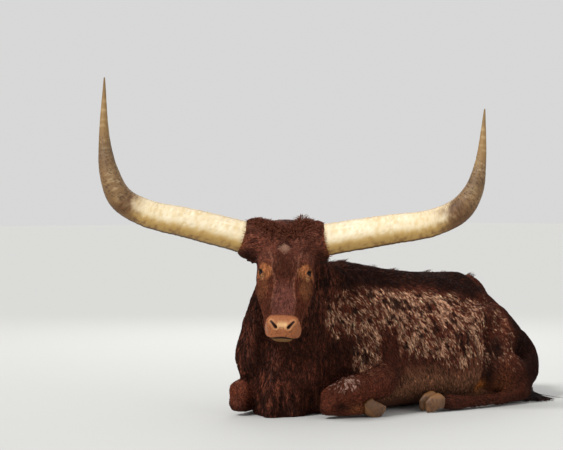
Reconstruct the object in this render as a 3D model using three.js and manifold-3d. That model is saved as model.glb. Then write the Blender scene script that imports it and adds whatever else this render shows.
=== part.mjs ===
// A longhorn steer resting on the ground, life size, in millimetres.
// Its chest points along -Y and its left side along +X. The neck bends to the left and the
// head turns further, so that the face looks 50 degrees to the left of the body.
// Places are measured from the ground under the withers. At the end the whole animal is moved
// so that the origin is on the ground at the middle of its bounding box.
import * as THREE from "three";
import { mergeVertices } from "three/addons/utils/BufferGeometryUtils.js";
import Module from "manifold-3d";

const wasm = await Module();
wasm.setup();

// Driving dimensions
const gap = 0.3; // clearance between neighbouring pieces
const neckTurn = 50; // degrees from the body's axis to the way that the neck and the horns face
const faceTurn = 48; // the same for the face
const facePitch = 57; // degrees that the nose hangs below level
const headRoll = 2; // degrees that the right horn is carried above the left
const poll = [238, -525, 912]; // top of the head between the horns
const hornShift = 11; // how far the middle of the horns lies to the right of the face's
const eyeRadius = 19;
const lidThickness = 4.5;
const hornBase = 74; // radius of a horn where it leaves the hair
const horns = {
  right: { side: -1, reach: 845, rise: 632 },
  left: { side: 1, reach: 891, rise: 549 },
};

const v = (x, y, z) => new THREE.Vector3(x, y, z);
const rad = THREE.MathUtils.degToRad;

// Shared shape tools

// A round outline that can be squarer, and narrower above than below.
function roundish(angle, [width, rise, drop], [square, narrow]) {
  const c = Math.cos(angle);
  const s = Math.sin(angle);
  const power = 2 / square;
  const x = width * Math.sign(c) * Math.abs(c) ** power * (1 - narrow * s);
  const z = (s > 0 ? rise : drop) * Math.sign(s) * Math.abs(s) ** power;
  return [x, z];
}

// The cupped outline of an ear: round the back of the cup, then back along its inside.
function cupped(angle, [width, depth, wall]) {
  const outside = angle < Math.PI;
  const half = outside ? width : width - wall;
  const deep = outside ? depth : depth - wall;
  return [half * Math.cos(angle), deep * Math.abs(Math.sin(angle))];
}

// A closed surface over rings of points, with a pole at each end.
function skinOver(rings, firstPole, lastPole) {
  const sides = rings[0].length;
  const points = [...rings.flat(), firstPole, lastPole];
  const first = points.length - 2;
  const last = points.length - 1;
  const faces = [];
  for (let j = 0; j < sides; j++) {
    const k = (j + 1) % sides;
    faces.push(first, k, j);
    for (let i = 0; i + 1 < rings.length; i++) {
      const a = i * sides;
      const b = a + sides;
      faces.push(a + j, a + k, b + k, a + j, b + k, b + j);
    }
    const end = (rings.length - 1) * sides;
    faces.push(last, end + j, end + k);
  }
  const geometry = new THREE.BufferGeometry().setFromPoints(points);
  geometry.setIndex(faces);
  return volume(geometry) < 0 ? turned(geometry) : geometry;
}

function volume(geometry) {
  const p = geometry.getAttribute("position");
  const index = geometry.index.array;
  const [a, b, c] = [v(), v(), v()];
  let sum = 0;
  for (let i = 0; i < index.length; i += 3) {
    a.fromBufferAttribute(p, index[i]);
    b.fromBufferAttribute(p, index[i + 1]);
    c.fromBufferAttribute(p, index[i + 2]);
    sum += a.dot(b.cross(c));
  }
  return sum / 6;
}

function turned(geometry) {
  geometry.setIndex(Array.from(geometry.index.array).reverse());
  return geometry;
}

// A body lofted along a smooth path through stations. A station has its place, its size as
// [half width, rise, drop] and may be squarer, narrower above, or rolled.
// domes are the lengths of the rounded ends, and grow makes the body that much bigger all over.
function loft(stations, { steps, sides, up = [0, 0, 1], domes = [0, 0], grow = 0, outline = roundish }) {
  const through = (list) => new THREE.CatmullRomCurve3(list, false, "centripetal");
  const path = through(stations.map((s) => v(...s.at)));
  const sizes = through(stations.map((s) => v(...s.size)));
  const forms = through(stations.map((s) => v(s.square ?? 2.2, s.narrow ?? 0, s.roll ?? 0)));
  const ringAt = (t, shift, scale) => {
    const ahead = path.getTangent(t);
    const rise = v(...up).addScaledVector(ahead, -ahead.dot(v(...up))).normalize();
    const across = ahead.clone().cross(rise);
    const middle = path.getPoint(t).addScaledVector(ahead, shift);
    const size = sizes.getPoint(t).toArray();
    const form = forms.getPoint(t).toArray();
    const roll = rad(form[2]);
    const grown = outline === cupped ? size : size.map((length) => length * scale + grow);
    const ring = [];
    for (let j = 0; j < sides; j++) {
      const [x, z] = outline((2 * Math.PI * j) / sides, grown, form);
      ring.push(
        middle
          .clone()
          .addScaledVector(across, x * Math.cos(roll) - z * Math.sin(roll))
          .addScaledVector(rise, x * Math.sin(roll) + z * Math.cos(roll)),
      );
    }
    return { ring, middle, ahead };
  };
  const rings = [];
  const domed = [rad(60), rad(30)];
  const [startDome, endDome] = domes;
  if (startDome) for (const a of domed) rings.push(ringAt(0, -startDome * Math.sin(a), Math.cos(a)).ring);
  for (let i = 0; i <= steps; i++) rings.push(ringAt(i / steps, 0, 1).ring);
  const closing = endDome ? [...domed].reverse() : [];
  for (const a of closing) rings.push(ringAt(1, endDome * Math.sin(a), Math.cos(a)).ring);
  const start = ringAt(0, -startDome - grow, 1);
  const end = ringAt(1, endDome + grow, 1);
  return skinOver(rings, start.middle, end.middle);
}

// Pushes a surface softly: each touch moves what lies within its reach by a vector.
function sculpt(geometry, touches) {
  const p = geometry.getAttribute("position");
  const point = v();
  for (let i = 0; i < p.count; i++) {
    point.fromBufferAttribute(p, i);
    const moved = point.clone();
    for (const { at, reach, by } of touches) {
      const near = point.clone().sub(v(...at)).divide(v(...reach));
      moved.addScaledVector(v(...by), Math.exp(-near.lengthSq()));
    }
    p.setXYZ(i, moved.x, moved.y, moved.z);
  }
  return geometry;
}

// The same touch on both sides of the plane x = 0.
const bothSides = (touch) => [
  touch,
  { at: mirrored(touch.at), reach: touch.reach, by: mirrored(touch.by) },
];
const mirrored = ([x, y, z]) => [-x, y, z];

function solid(geometry) {
  const bare = new THREE.BufferGeometry().setAttribute("position", geometry.getAttribute("position"));
  if (geometry.index) bare.setIndex(geometry.index);
  const merged = mergeVertices(bare, 1e-3);
  return new wasm.Manifold(
    new wasm.Mesh({
      numProp: 3,
      vertProperties: new Float32Array(merged.attributes.position.array),
      triVerts: new Uint32Array(merged.index.array),
    }),
  );
}

const placed = (geometry, object) => solid(geometry.clone().applyMatrix4(object.matrixWorld));
const union = (solids) => solids.reduce((whole, piece) => whole.add(piece));
const without = (whole, cutters) => cutters.reduce((left, cutter) => left.subtract(cutter), whole);

// The largest closed surface of a solid, which drops loose scraps and sealed hollows.
function largest(whole) {
  return whole.decompose().reduce((best, piece) => (piece.volume() > best.volume() ? piece : best));
}

const groundDepth = 400;
const ground = solid(new THREE.BoxGeometry(6000, 6000, groundDepth).translate(0, 0, -groundDepth / 2));

function meshOf(name, whole, material) {
  const made = largest(whole).getMesh();
  const geometry = new THREE.BufferGeometry()
    .setAttribute("position", new THREE.BufferAttribute(made.vertProperties, made.numProp))
    .setIndex(new THREE.BufferAttribute(made.triVerts, 1));
  geometry.computeVertexNormals();
  const mesh = new THREE.Mesh(geometry, material);
  mesh.name = name;
  return mesh;
}

// Materials
const coat = new THREE.MeshStandardMaterial({ color: 0x3d1f17, roughness: 0.8, metalness: 0 });
const hornSheath = new THREE.MeshStandardMaterial({ color: 0xb59a62, roughness: 0.55, metalness: 0 });
const hoofHorn = new THREE.MeshStandardMaterial({ color: 0x7d6a4e, roughness: 0.6, metalness: 0 });
const eyeSurface = new THREE.MeshStandardMaterial({ color: 0x120c09, roughness: 0.1, metalness: 0 });
const longHair = new THREE.MeshStandardMaterial({ color: 0x24120e, roughness: 0.85, metalness: 0 });

const animal = new THREE.Group();
const headFrame = new THREE.Group(); // X to the animal's left, -Y down the face, +Z out of the forehead
headFrame.position.set(...poll);
headFrame.rotation.set(rad(facePitch), rad(headRoll), rad(faceTurn), "ZYX");
const hornFrame = new THREE.Group(); // level, with X to the animal's left and -Y the way that it looks
hornFrame.rotation.set(0, rad(headRoll), rad(neckTurn), "ZYX");
hornFrame.position.set(...poll);
hornFrame.translateX(-hornShift);
animal.add(headFrame, hornFrame);
animal.updateMatrixWorld(true);

// Torso: brisket, ribs, belly and rump
function torso(grow = 0) {
  const stations = [
    { at: [0, -320, 300], size: [110, 160, 210] },
    { at: [0, -245, 305], size: [168, 275, 315] },
    { at: [0, -120, 312], size: [222, 366, 325], narrow: 0.1 },
    { at: [0, 0, 320], size: [252, 390, 335], narrow: 0.2 },
    { at: [0, 170, 310], size: [300, 384, 325], narrow: 0.2 },
    { at: [0, 340, 295], size: [352, 378, 300], narrow: 0.2, square: 2.25 },
    { at: [0, 480, 285], size: [382, 374, 290], narrow: 0.2, square: 2.3 },
    { at: [0, 588, 285], size: [382, 371, 293], narrow: 0.18, square: 2.3 },
    { at: [0, 660, 288], size: [346, 366, 297], narrow: 0.16, square: 2.3 },
    { at: [0, 725, 295], size: [292, 358, 302], narrow: 0.12, square: 2.3 },
    { at: [0, 830, 300], size: [266, 344, 306], narrow: 0.16, square: 2.2 },
    { at: [0, 915, 300], size: [250, 286, 304], narrow: 0.18, square: 2.1 },
    { at: [0, 985, 290], size: [234, 228, 290], narrow: 0.2 },
    { at: [0, 1045, 280], size: [206, 188, 285], narrow: 0.2 },
    { at: [0, 1095, 260], size: [168, 150, 265], narrow: 0.15 },
    { at: [0, 1132, 235], size: [112, 100, 235] },
  ];
  const body = loft(stations, { steps: 21, sides: 18, domes: [30, 45], grow });
  return solid(
    sculpt(body, [
      ...bothSides({ at: [240, -60, 390], reach: [90, 130, 180], by: [30, 0, 0] }), // shoulder
      ...bothSides({ at: [290, 130, 430], reach: [80, 60, 160], by: [-20, 0, 0] }), // behind the shoulder
      ...bothSides({ at: [300, 545, 560], reach: [90, 80, 80], by: [-24, 0, -8] }), // flank hollow
      ...bothSides({ at: [225, 690, 570], reach: [62, 62, 62], by: [22, 0, 14] }), // hook bone
      ...bothSides({ at: [120, 915, 540], reach: [60, 80, 70], by: [-8, 0, -22] }), // beside the tail head
      ...bothSides({ at: [92, 1060, 430], reach: [50, 50, 50], by: [8, 12, 8] }), // pin bone
      { at: [0, 850, 650], reach: [60, 80, 50], by: [0, 0, 8] }, // sacrum
      { at: [0, 10, 720], reach: [60, 110, 60], by: [0, 0, 12] }, // withers
    ]),
  );
}

// A place that is measured as seen from the front of the turned neck: across to the animal's
// left, then forward, then up.
const frontAcross = [Math.cos(rad(neckTurn)), Math.sin(rad(neckTurn)), 0];
const frontAhead = [Math.sin(rad(neckTurn)), -Math.cos(rad(neckTurn)), 0];
const seen = (across, ahead, z) => [
  frontAcross[0] * across + frontAhead[0] * ahead,
  frontAcross[1] * across + frontAhead[1] * ahead,
  z,
];

// Neck, with the deep chest below it: a brisket, a lobe at each side of the throat and the dewlap
function neck(grow = 0) {
  const crest = loft(
    [
      { at: [0, 60, 440], size: [215, 270, 300] },
      { at: [10, -130, 458], size: [190, 272, 330], narrow: 0.12 },
      { at: [50, -285, 548], size: [160, 214, 250], narrow: 0.12 },
      { at: [112, -398, 662], size: [138, 156, 180], narrow: 0.1 },
      { at: [168, -472, 762], size: [118, 120, 130] },
    ],
    { steps: 9, sides: 18, domes: [20, 30], grow },
  );
  const brisket = loft(
    [
      { at: seen(-275, 150, -30), size: [126, 140, 120], square: 2.3 },
      { at: seen(-275, 160, 60), size: [140, 158, 140], square: 2.3 },
      { at: seen(-275, 160, 140), size: [146, 160, 160], square: 2.2 },
      { at: seen(-272, 150, 220), size: [158, 138, 180] },
      { at: seen(-268, 150, 320), size: [176, 122, 190] },
      { at: seen(-262, 162, 430), size: [178, 112, 190] },
      { at: seen(-248, 190, 540), size: [160, 96, 170] },
      { at: seen(-235, 240, 650), size: [122, 76, 150] },
    ],
    { steps: 10, sides: 16, up: frontAhead, grow },
  );
  const rightLobe = loft(
    [
      { at: seen(-340, 236, 640), size: [44, 60, 80] },
      { at: seen(-372, 212, 520), size: [58, 78, 90] },
      { at: seen(-402, 198, 400), size: [70, 90, 100] },
      { at: seen(-420, 190, 290), size: [76, 94, 100] },
      { at: seen(-416, 186, 205), size: [64, 78, 80] },
    ],
    { steps: 7, sides: 12, up: frontAhead, domes: [20, 34], grow },
  );
  const leftLobe = loft(
    [
      { at: seen(-138, 255, 640), size: [56, 60, 90] },
      { at: seen(-130, 232, 520), size: [74, 88, 110] },
      { at: seen(-126, 222, 400), size: [90, 104, 120] },
      { at: seen(-128, 214, 280), size: [98, 112, 120] },
      { at: seen(-136, 200, 160), size: [84, 92, 100] },
    ],
    { steps: 7, sides: 13, up: frontAhead, domes: [20, 50], grow },
  );
  const dewlap = loft(
    [
      { at: seen(-322, 290, -20), size: [40, 40, 60] },
      { at: seen(-324, 312, 70), size: [46, 38, 60] },
      { at: seen(-318, 300, 150), size: [44, 34, 60] },
      { at: seen(-300, 268, 250), size: [30, 30, 60] },
      { at: seen(-280, 255, 370), size: [24, 26, 60] },
      { at: seen(-262, 252, 480), size: [20, 22, 50] },
      { at: seen(-250, 258, 590), size: [18, 20, 40] },
    ],
    { steps: 10, sides: 8, up: frontAhead, grow },
  );
  return union([crest, brisket, rightLobe, leftLobe, dewlap].map(solid));
}

// Head: skull and flesh as one form from the poll to the lips
function headForm(grow = 0) {
  const stations = [
    { at: [0, 35, -92], size: [96, 42, 60] },
    { at: [0, 0, -86], size: [126, 74, 110], square: 2.4, narrow: -0.02 },
    { at: [0, -60, -80], size: [134, 84, 155], square: 2.6, narrow: -0.06 },
    { at: [0, -130, -76], size: [132, 83, 180], square: 2.6, narrow: -0.04 },
    { at: [0, -195, -76], size: [126, 78, 186], square: 2.5, narrow: 0.02 },
    { at: [0, -250, -80], size: [122, 72, 172], square: 2.4, narrow: 0.1 },
    { at: [0, -320, -98], size: [114, 79, 132], square: 2.3, narrow: 0.18 },
    { at: [0, -385, -103], size: [99, 74, 104], square: 2.3, narrow: 0.16 },
    { at: [0, -435, -103], size: [88, 69, 88], square: 2.4, narrow: 0.1 },
    { at: [0, -475, -102], size: [83, 66, 77], square: 2.6, narrow: 0.02 },
    { at: [0, -508, -106], size: [78, 57, 66], square: 2.7 },
    { at: [0, -530, -110], size: [67, 40, 50], square: 2.7 },
    { at: [0, -541, -112], size: [46, 24, 30], square: 2.4 },
  ];
  const form = loft(stations, { steps: 24, sides: 20, domes: [25, 5], grow });
  return sculpt(form, [
    ...bothSides({ at: [104, -205, -22], reach: [30, 38, 26], by: [8, 0, 10] }), // brow
    ...bothSides({ at: [104, -262, -36], reach: [20, 20, 18], by: [-5, 0, -4] }), // corner of the eye
    ...bothSides({ at: [116, -282, -84], reach: [30, 36, 26], by: [8, 0, 0] }), // below the eye
    ...bothSides({ at: [112, -215, -165], reach: [46, 66, 62], by: [14, 0, 0] }), // jaw muscle
    ...bothSides({ at: [104, -315, -40], reach: [34, 90, 30], by: [-10, 0, -9] }), // side of the nose
    ...bothSides({ at: [60, -480, -58], reach: [30, 30, 26], by: [8, -2, 6] }), // nostril's wing
    ...bothSides({ at: [60, -505, -112], reach: [34, 34, 26], by: [9, -4, 0] }), // upper lip
    { at: [0, -120, 14], reach: [46, 70, 30], by: [0, 0, -8] }, // hollow of the forehead
    { at: [0, -505, -172], reach: [44, 30, 24], by: [0, 0, -6] }, // chin
  ]);
}

// The path of a horn in the horn frame, as shares of its reach to the side and its rise
function hornPath({ side, reach, rise }) {
  return [
    [side * 92, 30, -96],
    [side * 178, 22, -72],
    [side * 0.525 * reach, 6, -14],
    [side * 0.752 * reach, -8, 26],
    [side * 0.885 * reach, -18, 88],
    [side * 0.952 * reach, -20, 0.32 * rise],
    [side * 0.985 * reach, -8, 0.56 * rise],
    [side * reach, 20, rise],
  ];
}

function horn(which, grow = 0) {
  const shares = [1, 1, 0.94, 0.85, 0.79, 0.61, 0.35, 0.055];
  const stations = hornPath(which).map((at, i) => {
    const radius = hornBase * shares[i];
    return { at, size: [radius, radius, radius], square: 2 };
  });
  return loft(stations, { steps: 26, sides: 12, up: [0, -1, 0], domes: [0, 4], grow });
}

// The sleeve of hair that the horn grows out of
function hornSleeve(which, grow = 0) {
  const [inner, outer] = hornPath(which);
  const far = outer.map((x, i) => x + (x - inner[i]) * 0.12);
  const near = inner.map((x, i) => x - (outer[i] - x) * 0.6);
  const stations = [
    { at: near, size: [88, 78, 82] },
    { at: inner, size: [96, 86, 94] },
    { at: outer, size: [89, 86, 84] },
    { at: far, size: [77, 77, 77] },
  ];
  return loft(stations, { steps: 5, sides: 12, up: [0, -1, 0], domes: [30, 4], grow });
}

// Hair that stands up from the poll on each side and bends out over the sleeves, in the horn frame:
// two rows of locks on a low cushion
const pollTufts = {
  right: { side: -1, inner: 62, level: -2, rise: 24 },
  left: { side: 1, inner: 58, level: 2, rise: 44 },
};

function pollHair({ side, inner, level, rise }) {
  const cushion = [
    { at: [side * (inner - 8), 4, -18], size: [10, 26, 26] },
    { at: [side * (inner + 30), 4, -3], size: [14, 33, 33] },
    { at: [side * (inner + 76), 4, 5], size: [10, 26, 26] },
  ];
  const rows = [22, -14];
  const inRow = 4;
  const locks = rows.flatMap((row, i) =>
    Array.from({ length: inRow }, (_, j) => {
      const wave = Math.sin(i * 2.1 + j * 1.7 + side);
      const x = side * (inner + j * 20 + i * 8);
      const y = row + 5 * wave;
      const up = rise * (1 - 0.16 * j) + 3 * wave;
      const stations = [
        { at: [x - side * 8, y, level - 34], size: [18, 9, 9] },
        { at: [x, y - 4, level], size: [18, 9, 9] },
        { at: [x + side * 10, y - 10, level + up * 0.72], size: [13, 7, 7] },
        { at: [x + side * 27, y - 18 - 4 * wave, level + up], size: [5, 3, 3] },
      ];
      return loft(stations, { steps: 3, sides: 5, up: [side, -0.5, 0.2] });
    }),
  );
  const low = loft(cushion, { steps: 4, sides: 10, up: [0, -1, 0], domes: [6, 6] });
  return union([low, ...locks].map((piece) => placed(piece, hornFrame)));
}

// Eyes, each with its lids
const eyePlaces = { right: [-93, -236, -49], left: [93, -236, -49] };
function eyeLook(side) {
  const look = new THREE.Group();
  look.position.set(...eyePlaces[side]);
  look.rotation.set(rad(-8), rad(side === "left" ? 64 : -64), 0, "ZYX"); // its +Z looks out
  headFrame.add(look);
  look.updateMatrixWorld(true);
  return look;
}

// An almond prism that opens the lids, along +Z
function lidOpening() {
  const halfLength = 17;
  const halfHeight = 11;
  const almond = new THREE.Shape();
  almond.moveTo(0, -halfLength);
  almond.quadraticCurveTo(halfHeight * 1.9, 0, 0, halfLength);
  almond.quadraticCurveTo(-halfHeight * 1.9, 0, 0, -halfLength);
  return new THREE.ExtrudeGeometry(almond, { depth: 40, bevelEnabled: false, curveSegments: 10 });
}

// Ears, laid back below the horns
function ear(side) {
  const sign = side === "left" ? 1 : -1;
  const along = (share, out) => [sign * (104 + share * 98), -80 + share * 44 + out, -98 - share * 150];
  const stations = [
    { at: along(0, 0), size: [24, 26, 20] },
    { at: along(0.16, 0), size: [30, 30, 16] },
    { at: along(0.34, -3), size: [44, 31, 13] },
    { at: along(0.58, -4), size: [48, 27, 12] },
    { at: along(0.82, 0), size: [33, 18, 10] },
    { at: along(1, 8), size: [12, 9, 6] },
  ];
  return loft(stations, { steps: 10, sides: 12, up: [-sign * 0.75, 0.25, -0.6], outline: cupped });
}

// Nostrils and the line of the mouth, cut in the head frame
function nostril(sign) {
  const hollow = new THREE.SphereGeometry(1, 10, 8).scale(6, 20, 12);
  hollow.rotateZ(rad(-sign * 43)).rotateX(rad(19));
  return hollow.translate(sign * 42, -498, -44);
}

// The line of the mouth is a slit that drops towards its corners.
function mouthLine() {
  const [front, corner, back] = [537, 462, 430];
  const [half, wide] = [79, 140];
  const [level, drop] = [-88, 22];
  const lips = new THREE.Shape();
  lips.moveTo(-half - 12, back);
  lips.lineTo(-half, corner);
  lips.bezierCurveTo(-half, front - 17, -62, front, 0, front);
  lips.bezierCurveTo(62, front, half, front - 17, half, corner);
  lips.lineTo(half + 12, back);
  lips.lineTo(wide, back);
  lips.lineTo(wide, 600);
  lips.lineTo(-wide, 600);
  lips.lineTo(-wide, back);
  const slit = new THREE.ExtrudeGeometry(lips, { depth: 3.4, bevelEnabled: false, curveSegments: 8 });
  slit.scale(1, -1, 1);
  const points = slit.getAttribute("position");
  for (let i = 0; i < points.count; i++) {
    const share = Math.min(Math.abs(points.getX(i)) / 64, 1.15);
    points.setZ(i, points.getZ(i) + level - drop * share * share);
  }
  return turned(indexed(slit));
}

function indexed(geometry) {
  const bare = new THREE.BufferGeometry().setAttribute("position", geometry.getAttribute("position"));
  return mergeVertices(bare, 1e-3);
}

// Legs, folded as the animal lies. Each is the union of the stretches between its joints.
function leg(stretches, grow) {
  return union(
    stretches.map(({ stations, steps, sides = 10, domes }) =>
      solid(
        loft(
          stations.map(([x, y, z, size, tall = 1]) => ({
            at: [x, y, z],
            size: [size, size * tall, size * tall],
          })),
          { steps, sides, domes, grow },
        ),
      ),
    ),
  );
}

const foreLegLeft = [
  {
    steps: 8,
    sides: 11,
    domes: [40, 40],
    stations: [
      [232, 80, 210, 98],
      [286, 0, 158, 84],
      [284, -100, 142, 68, 1.05],
      [262, -192, 128, 57, 1.26],
      [238, -262, 94, 54, 1.12],
    ],
  },
  {
    steps: 9,
    domes: [34, 20],
    stations: [
      [234, -278, 56, 46],
      [250, -230, 42, 36],
      [270, -182, 36, 32],
      [280, -146, 42, 39],
      [288, -116, 38, 35],
    ],
  },
];

const foreLegRight = [
  {
    steps: 8,
    sides: 11,
    domes: [40, 44],
    stations: [
      [-205, -60, 205, 96],
      [-240, -150, 152, 82],
      [-210, -300, 140, 67],
      [-166, -430, 128, 58],
      [-130, -505, 112, 58],
    ],
  },
  {
    steps: 9,
    domes: [34, 20],
    stations: [
      [-128, -522, 62, 50],
      [-150, -465, 44, 38],
      [-188, -400, 36, 32],
      [-214, -350, 42, 39],
      [-232, -316, 38, 35],
    ],
  },
];

// The thigh, the buttock, the gaskin from the stifle to the hock, and the cannon that lies on the ground
const hindLeg = (side, spread, back) => [
  {
    steps: 6,
    sides: 11,
    domes: [60, 50],
    stations: [
      [side * 152, 915, 338, 144],
      [side * (205 + spread), 850, 300, 144],
      [side * (254 + spread), 745 + back, 236, 118],
      [side * (266 + spread), 668 + back, 192, 90],
    ],
  },
  {
    steps: 5,
    sides: 10,
    domes: [50, 30],
    stations: [
      [side * 158, 1040, 268, 114],
      [side * 226, 1034, 210, 110],
      [side * (300 + spread), 985, 150, 92],
      [side * (352 + spread), 930, 112, 64],
    ],
  },
  {
    steps: 6,
    sides: 11,
    domes: [46, 50],
    stations: [
      [side * (272 + spread), 678 + back, 160, 80, 1.1],
      [side * (308 + spread), 760, 158, 84, 1.4],
      [side * (334 + spread), 855, 138, 80, 1.4],
      [side * (366 + spread), 922, 94, 58, 1.1],
    ],
  },
  {
    steps: 8,
    domes: [40, 20],
    stations: [
      [side * (388 + spread), 900, 62, 52],
      [side * (402 + spread), 790, 44, 37],
      [side * (408 + spread), 640, 34, 31],
      [side * (400 + spread), 500, 34, 32],
      [side * (390 + spread), 402, 40, 40],
      [side * (378 + spread), 345, 40, 35],
    ],
  },
];
const hindLegLeft = hindLeg(1, 0, 0);
const hindLegRight = hindLeg(-1, 22, -30);

// Hooves: each foot has two claws. In its own frame a foot's toe points along -Y and its sole faces down.
const clawToe = 68; // how far a toe reaches ahead
const clawTaper = 0.42; // how much narrower a claw is at its toe

function claw(grow = 0) {
  const stations = [
    { at: [0, 0, 0], size: [21, clawToe - 8, 30] },
    { at: [0, 0, 8], size: [26, clawToe, 38] },
    { at: [0, 5, 24], size: [27, 60, 40] },
    { at: [0, 15, 42], size: [26, 47, 35] },
    { at: [0, 24, 58], size: [23, 34, 29] },
  ];
  const form = loft(stations, { steps: 4, sides: 10, up: [0, -1, 0], domes: [3, 4], grow });
  const points = form.getAttribute("position");
  for (let i = 0; i < points.count; i++) {
    const ahead = Math.max(-points.getY(i), 0) / clawToe;
    points.setX(i, points.getX(i) * (1 - clawTaper * ahead * ahead));
  }
  return form;
}

// A foot's place on the ground and its turn. The fore feet rest on the fronts of their claws.
const feet = {
  fore_left: { at: [302, -70], turn: [134, 0, -22] },
  fore_right: { at: [-256, -262], turn: [134, 0, 26] },
  hind_left: { at: [358, 296], turn: [-3, 5, -12] },
  hind_right: { at: [-380, 296], turn: [-3, -5, 12] },
};
const pressed = 1.5; // how far a claw is flattened where it rests on the ground

function foot(name) {
  const { at, turn } = feet[name];
  const frame = new THREE.Group();
  frame.position.set(...at, 0);
  frame.rotation.set(...turn.map(rad), "ZYX");
  animal.add(frame);
  const claws = ["inner", "outer"].map((which, i) => {
    const mesh = new THREE.Mesh(claw());
    mesh.name = `claw_${name}_${which}`;
    mesh.position.set(i ? 27.5 : -27.5, 0, -30);
    frame.add(mesh);
    return mesh;
  });
  frame.updateMatrixWorld(true);
  frame.position.z = -new THREE.Box3().setFromObject(frame, true).min.z - pressed;
  frame.updateMatrixWorld(true);
  animal.remove(frame);
  return claws;
}

// Tail, which follows the rump down to the ground
const tailPath = [
  [0, 902, 604, 35],
  [0, 965, 570, 34],
  [3, 1025, 508, 30],
  [10, 1085, 430, 26],
  [28, 1135, 350, 22],
  [62, 1180, 270, 20],
  [108, 1200, 170, 18],
  [172, 1182, 68, 17],
  [232, 1136, 34, 17],
];

function tail(grow = 0) {
  const stations = tailPath.map(([x, y, z, size]) => ({ at: [x, y, z], size: [size, size, size] }));
  return solid(loft(stations, { steps: 14, sides: 8, domes: [20, 10], grow }));
}

// The switch: long locks that spread over the ground from the end of the tail
function switchLocks() {
  const count = 10;
  const [x, y, z] = tailPath.at(-1);
  const core = loft(
    [
      { at: [x - 8, y + 12, z], size: [20, 19, 19] },
      { at: [x + 34, y - 42, 31], size: [30, 24, 24] },
      { at: [x + 70, y - 96, 22], size: [26, 15, 15] },
    ],
    { steps: 4, sides: 8, domes: [4, 16] },
  );
  const locks = [];
  for (let i = 0; i < count; i++) {
    const share = i / (count - 1) - 0.5;
    const wave = Math.sin(i * 2.4);
    const heading = rad(-52 + share * 74);
    const length = 215 + 42 * wave - 90 * Math.abs(share);
    const rise = 30 + 12 * Math.cos(i * 1.9);
    const place = (s, lift) => [
      x + 22 + Math.cos(heading + 0.25 * wave * s) * length * s,
      y - 30 + Math.sin(heading + 0.25 * wave * s) * length * s,
      lift,
    ];
    const stations = [
      { at: place(0, rise), size: [15, 8, 8] },
      { at: place(0.35, rise * 0.85), size: [14, 8, 8] },
      { at: place(0.7, 13), size: [10, 6, 6] },
      { at: place(1, 5), size: [2.5, 2, 2] },
    ];
    locks.push(solid(loft(stations, { steps: 3, sides: 5 })));
  }
  return union([solid(core), ...locks]);
}

// Put together
const clawPlaces = Object.keys(feet).flatMap(foot);
const clawRoom = clawPlaces.map((place) => placed(claw(gap), place));
clawPlaces.forEach((place) => {
  animal.add(meshOf(place.name, without(placed(claw(), place), [ground]), hoofHorn));
});

const legShapes = {
  foreleg_left: foreLegLeft,
  foreleg_right: foreLegRight,
  hindleg_left: hindLegLeft,
  hindleg_right: hindLegRight,
};
const legRoom = Object.values(legShapes).map((shape) => leg(shape, gap));
const tailRoom = tail(gap);

const eyeballs = [];
const lids = [];
const lidRooms = [];
for (const side of ["right", "left"]) {
  const look = eyeLook(side);
  const ball = new THREE.Mesh(new THREE.SphereGeometry(eyeRadius, 12, 8), eyeSurface);
  ball.name = `eye_${side}`;
  look.add(ball);
  ball.updateMatrixWorld(true);
  eyeballs.push(ball);
  lids.push(placed(new THREE.SphereGeometry(eyeRadius + lidThickness, 12, 8).scale(0.94, 1.08, 0.98), look));
  lidRooms.push(placed(new THREE.SphereGeometry(eyeRadius + gap + 0.1, 12, 8), look));
  lidRooms.push(placed(lidOpening(), look));
}

const hornMeshes = Object.entries(horns).map(([side, which]) => {
  const mesh = new THREE.Mesh(horn(which), hornSheath);
  mesh.name = `horn_${side}`;
  hornFrame.add(mesh);
  mesh.updateMatrixWorld(true);
  return mesh;
});
const hornRoom = Object.values(horns).map((which) => placed(horn(which, gap), hornFrame));

const ears = ["right", "left"].map((side) => [side, placed(ear(side), headFrame)]);
const headWhole = union([
  placed(headForm(), headFrame),
  ...Object.values(horns).map((which) => placed(hornSleeve(which), hornFrame)),
  ...lids,
]);
const headRoom = union([
  placed(headForm(gap), headFrame),
  ...Object.values(horns).map((which) => placed(hornSleeve(which, gap), hornFrame)),
]);
const faceCuts = [
  placed(nostril(-1), headFrame),
  placed(nostril(1), headFrame),
  placed(mouthLine(), headFrame),
];
const head = without(headWhole, [...hornRoom, ...lidRooms, ...faceCuts]);

const shoulderPlane = new THREE.Group(); // where the neck meets the torso
shoulderPlane.position.set(0, -148, 300);
shoulderPlane.rotation.set(rad(14), 0, rad(12), "ZYX");
shoulderPlane.updateMatrixWorld(true);
const half = new THREE.BoxGeometry(3000, 3000, 3000);
const behind = placed(half.clone().translate(0, 1500 - gap / 2, 0), shoulderPlane);
const ahead = placed(half.clone().translate(0, -1500 + gap / 2, 0), shoulderPlane);

const neckRoom = neck(gap);
const trunk = union([torso(), neck()]);
const fleshCuts = [ground, ...legRoom, ...clawRoom, tailRoom];
animal.add(
  meshOf("torso", without(trunk, [ahead, ...fleshCuts]), coat),
  meshOf("neck", without(trunk, [behind, headRoom, ...fleshCuts]), coat),
);

Object.entries(legShapes).forEach(([name, shape]) => {
  animal.add(meshOf(name, without(leg(shape, 0), [ground, ...clawRoom]), coat));
});
animal.add(meshOf("tail", without(tail(), [ground]), coat));
animal.add(meshOf("tail_switch", without(switchLocks(), [ground, tailRoom, ...legRoom]), longHair));

animal.add(meshOf("head", head, coat));
Object.entries(pollTufts).forEach(([side, tuft]) => {
  animal.add(meshOf(`poll_hair_${side}`, without(pollHair(tuft), [headRoom, ...hornRoom]), longHair));
});
ears.forEach(([side, shape]) => {
  animal.add(meshOf(`ear_${side}`, without(shape, [headRoom, neckRoom]), coat));
});

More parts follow.
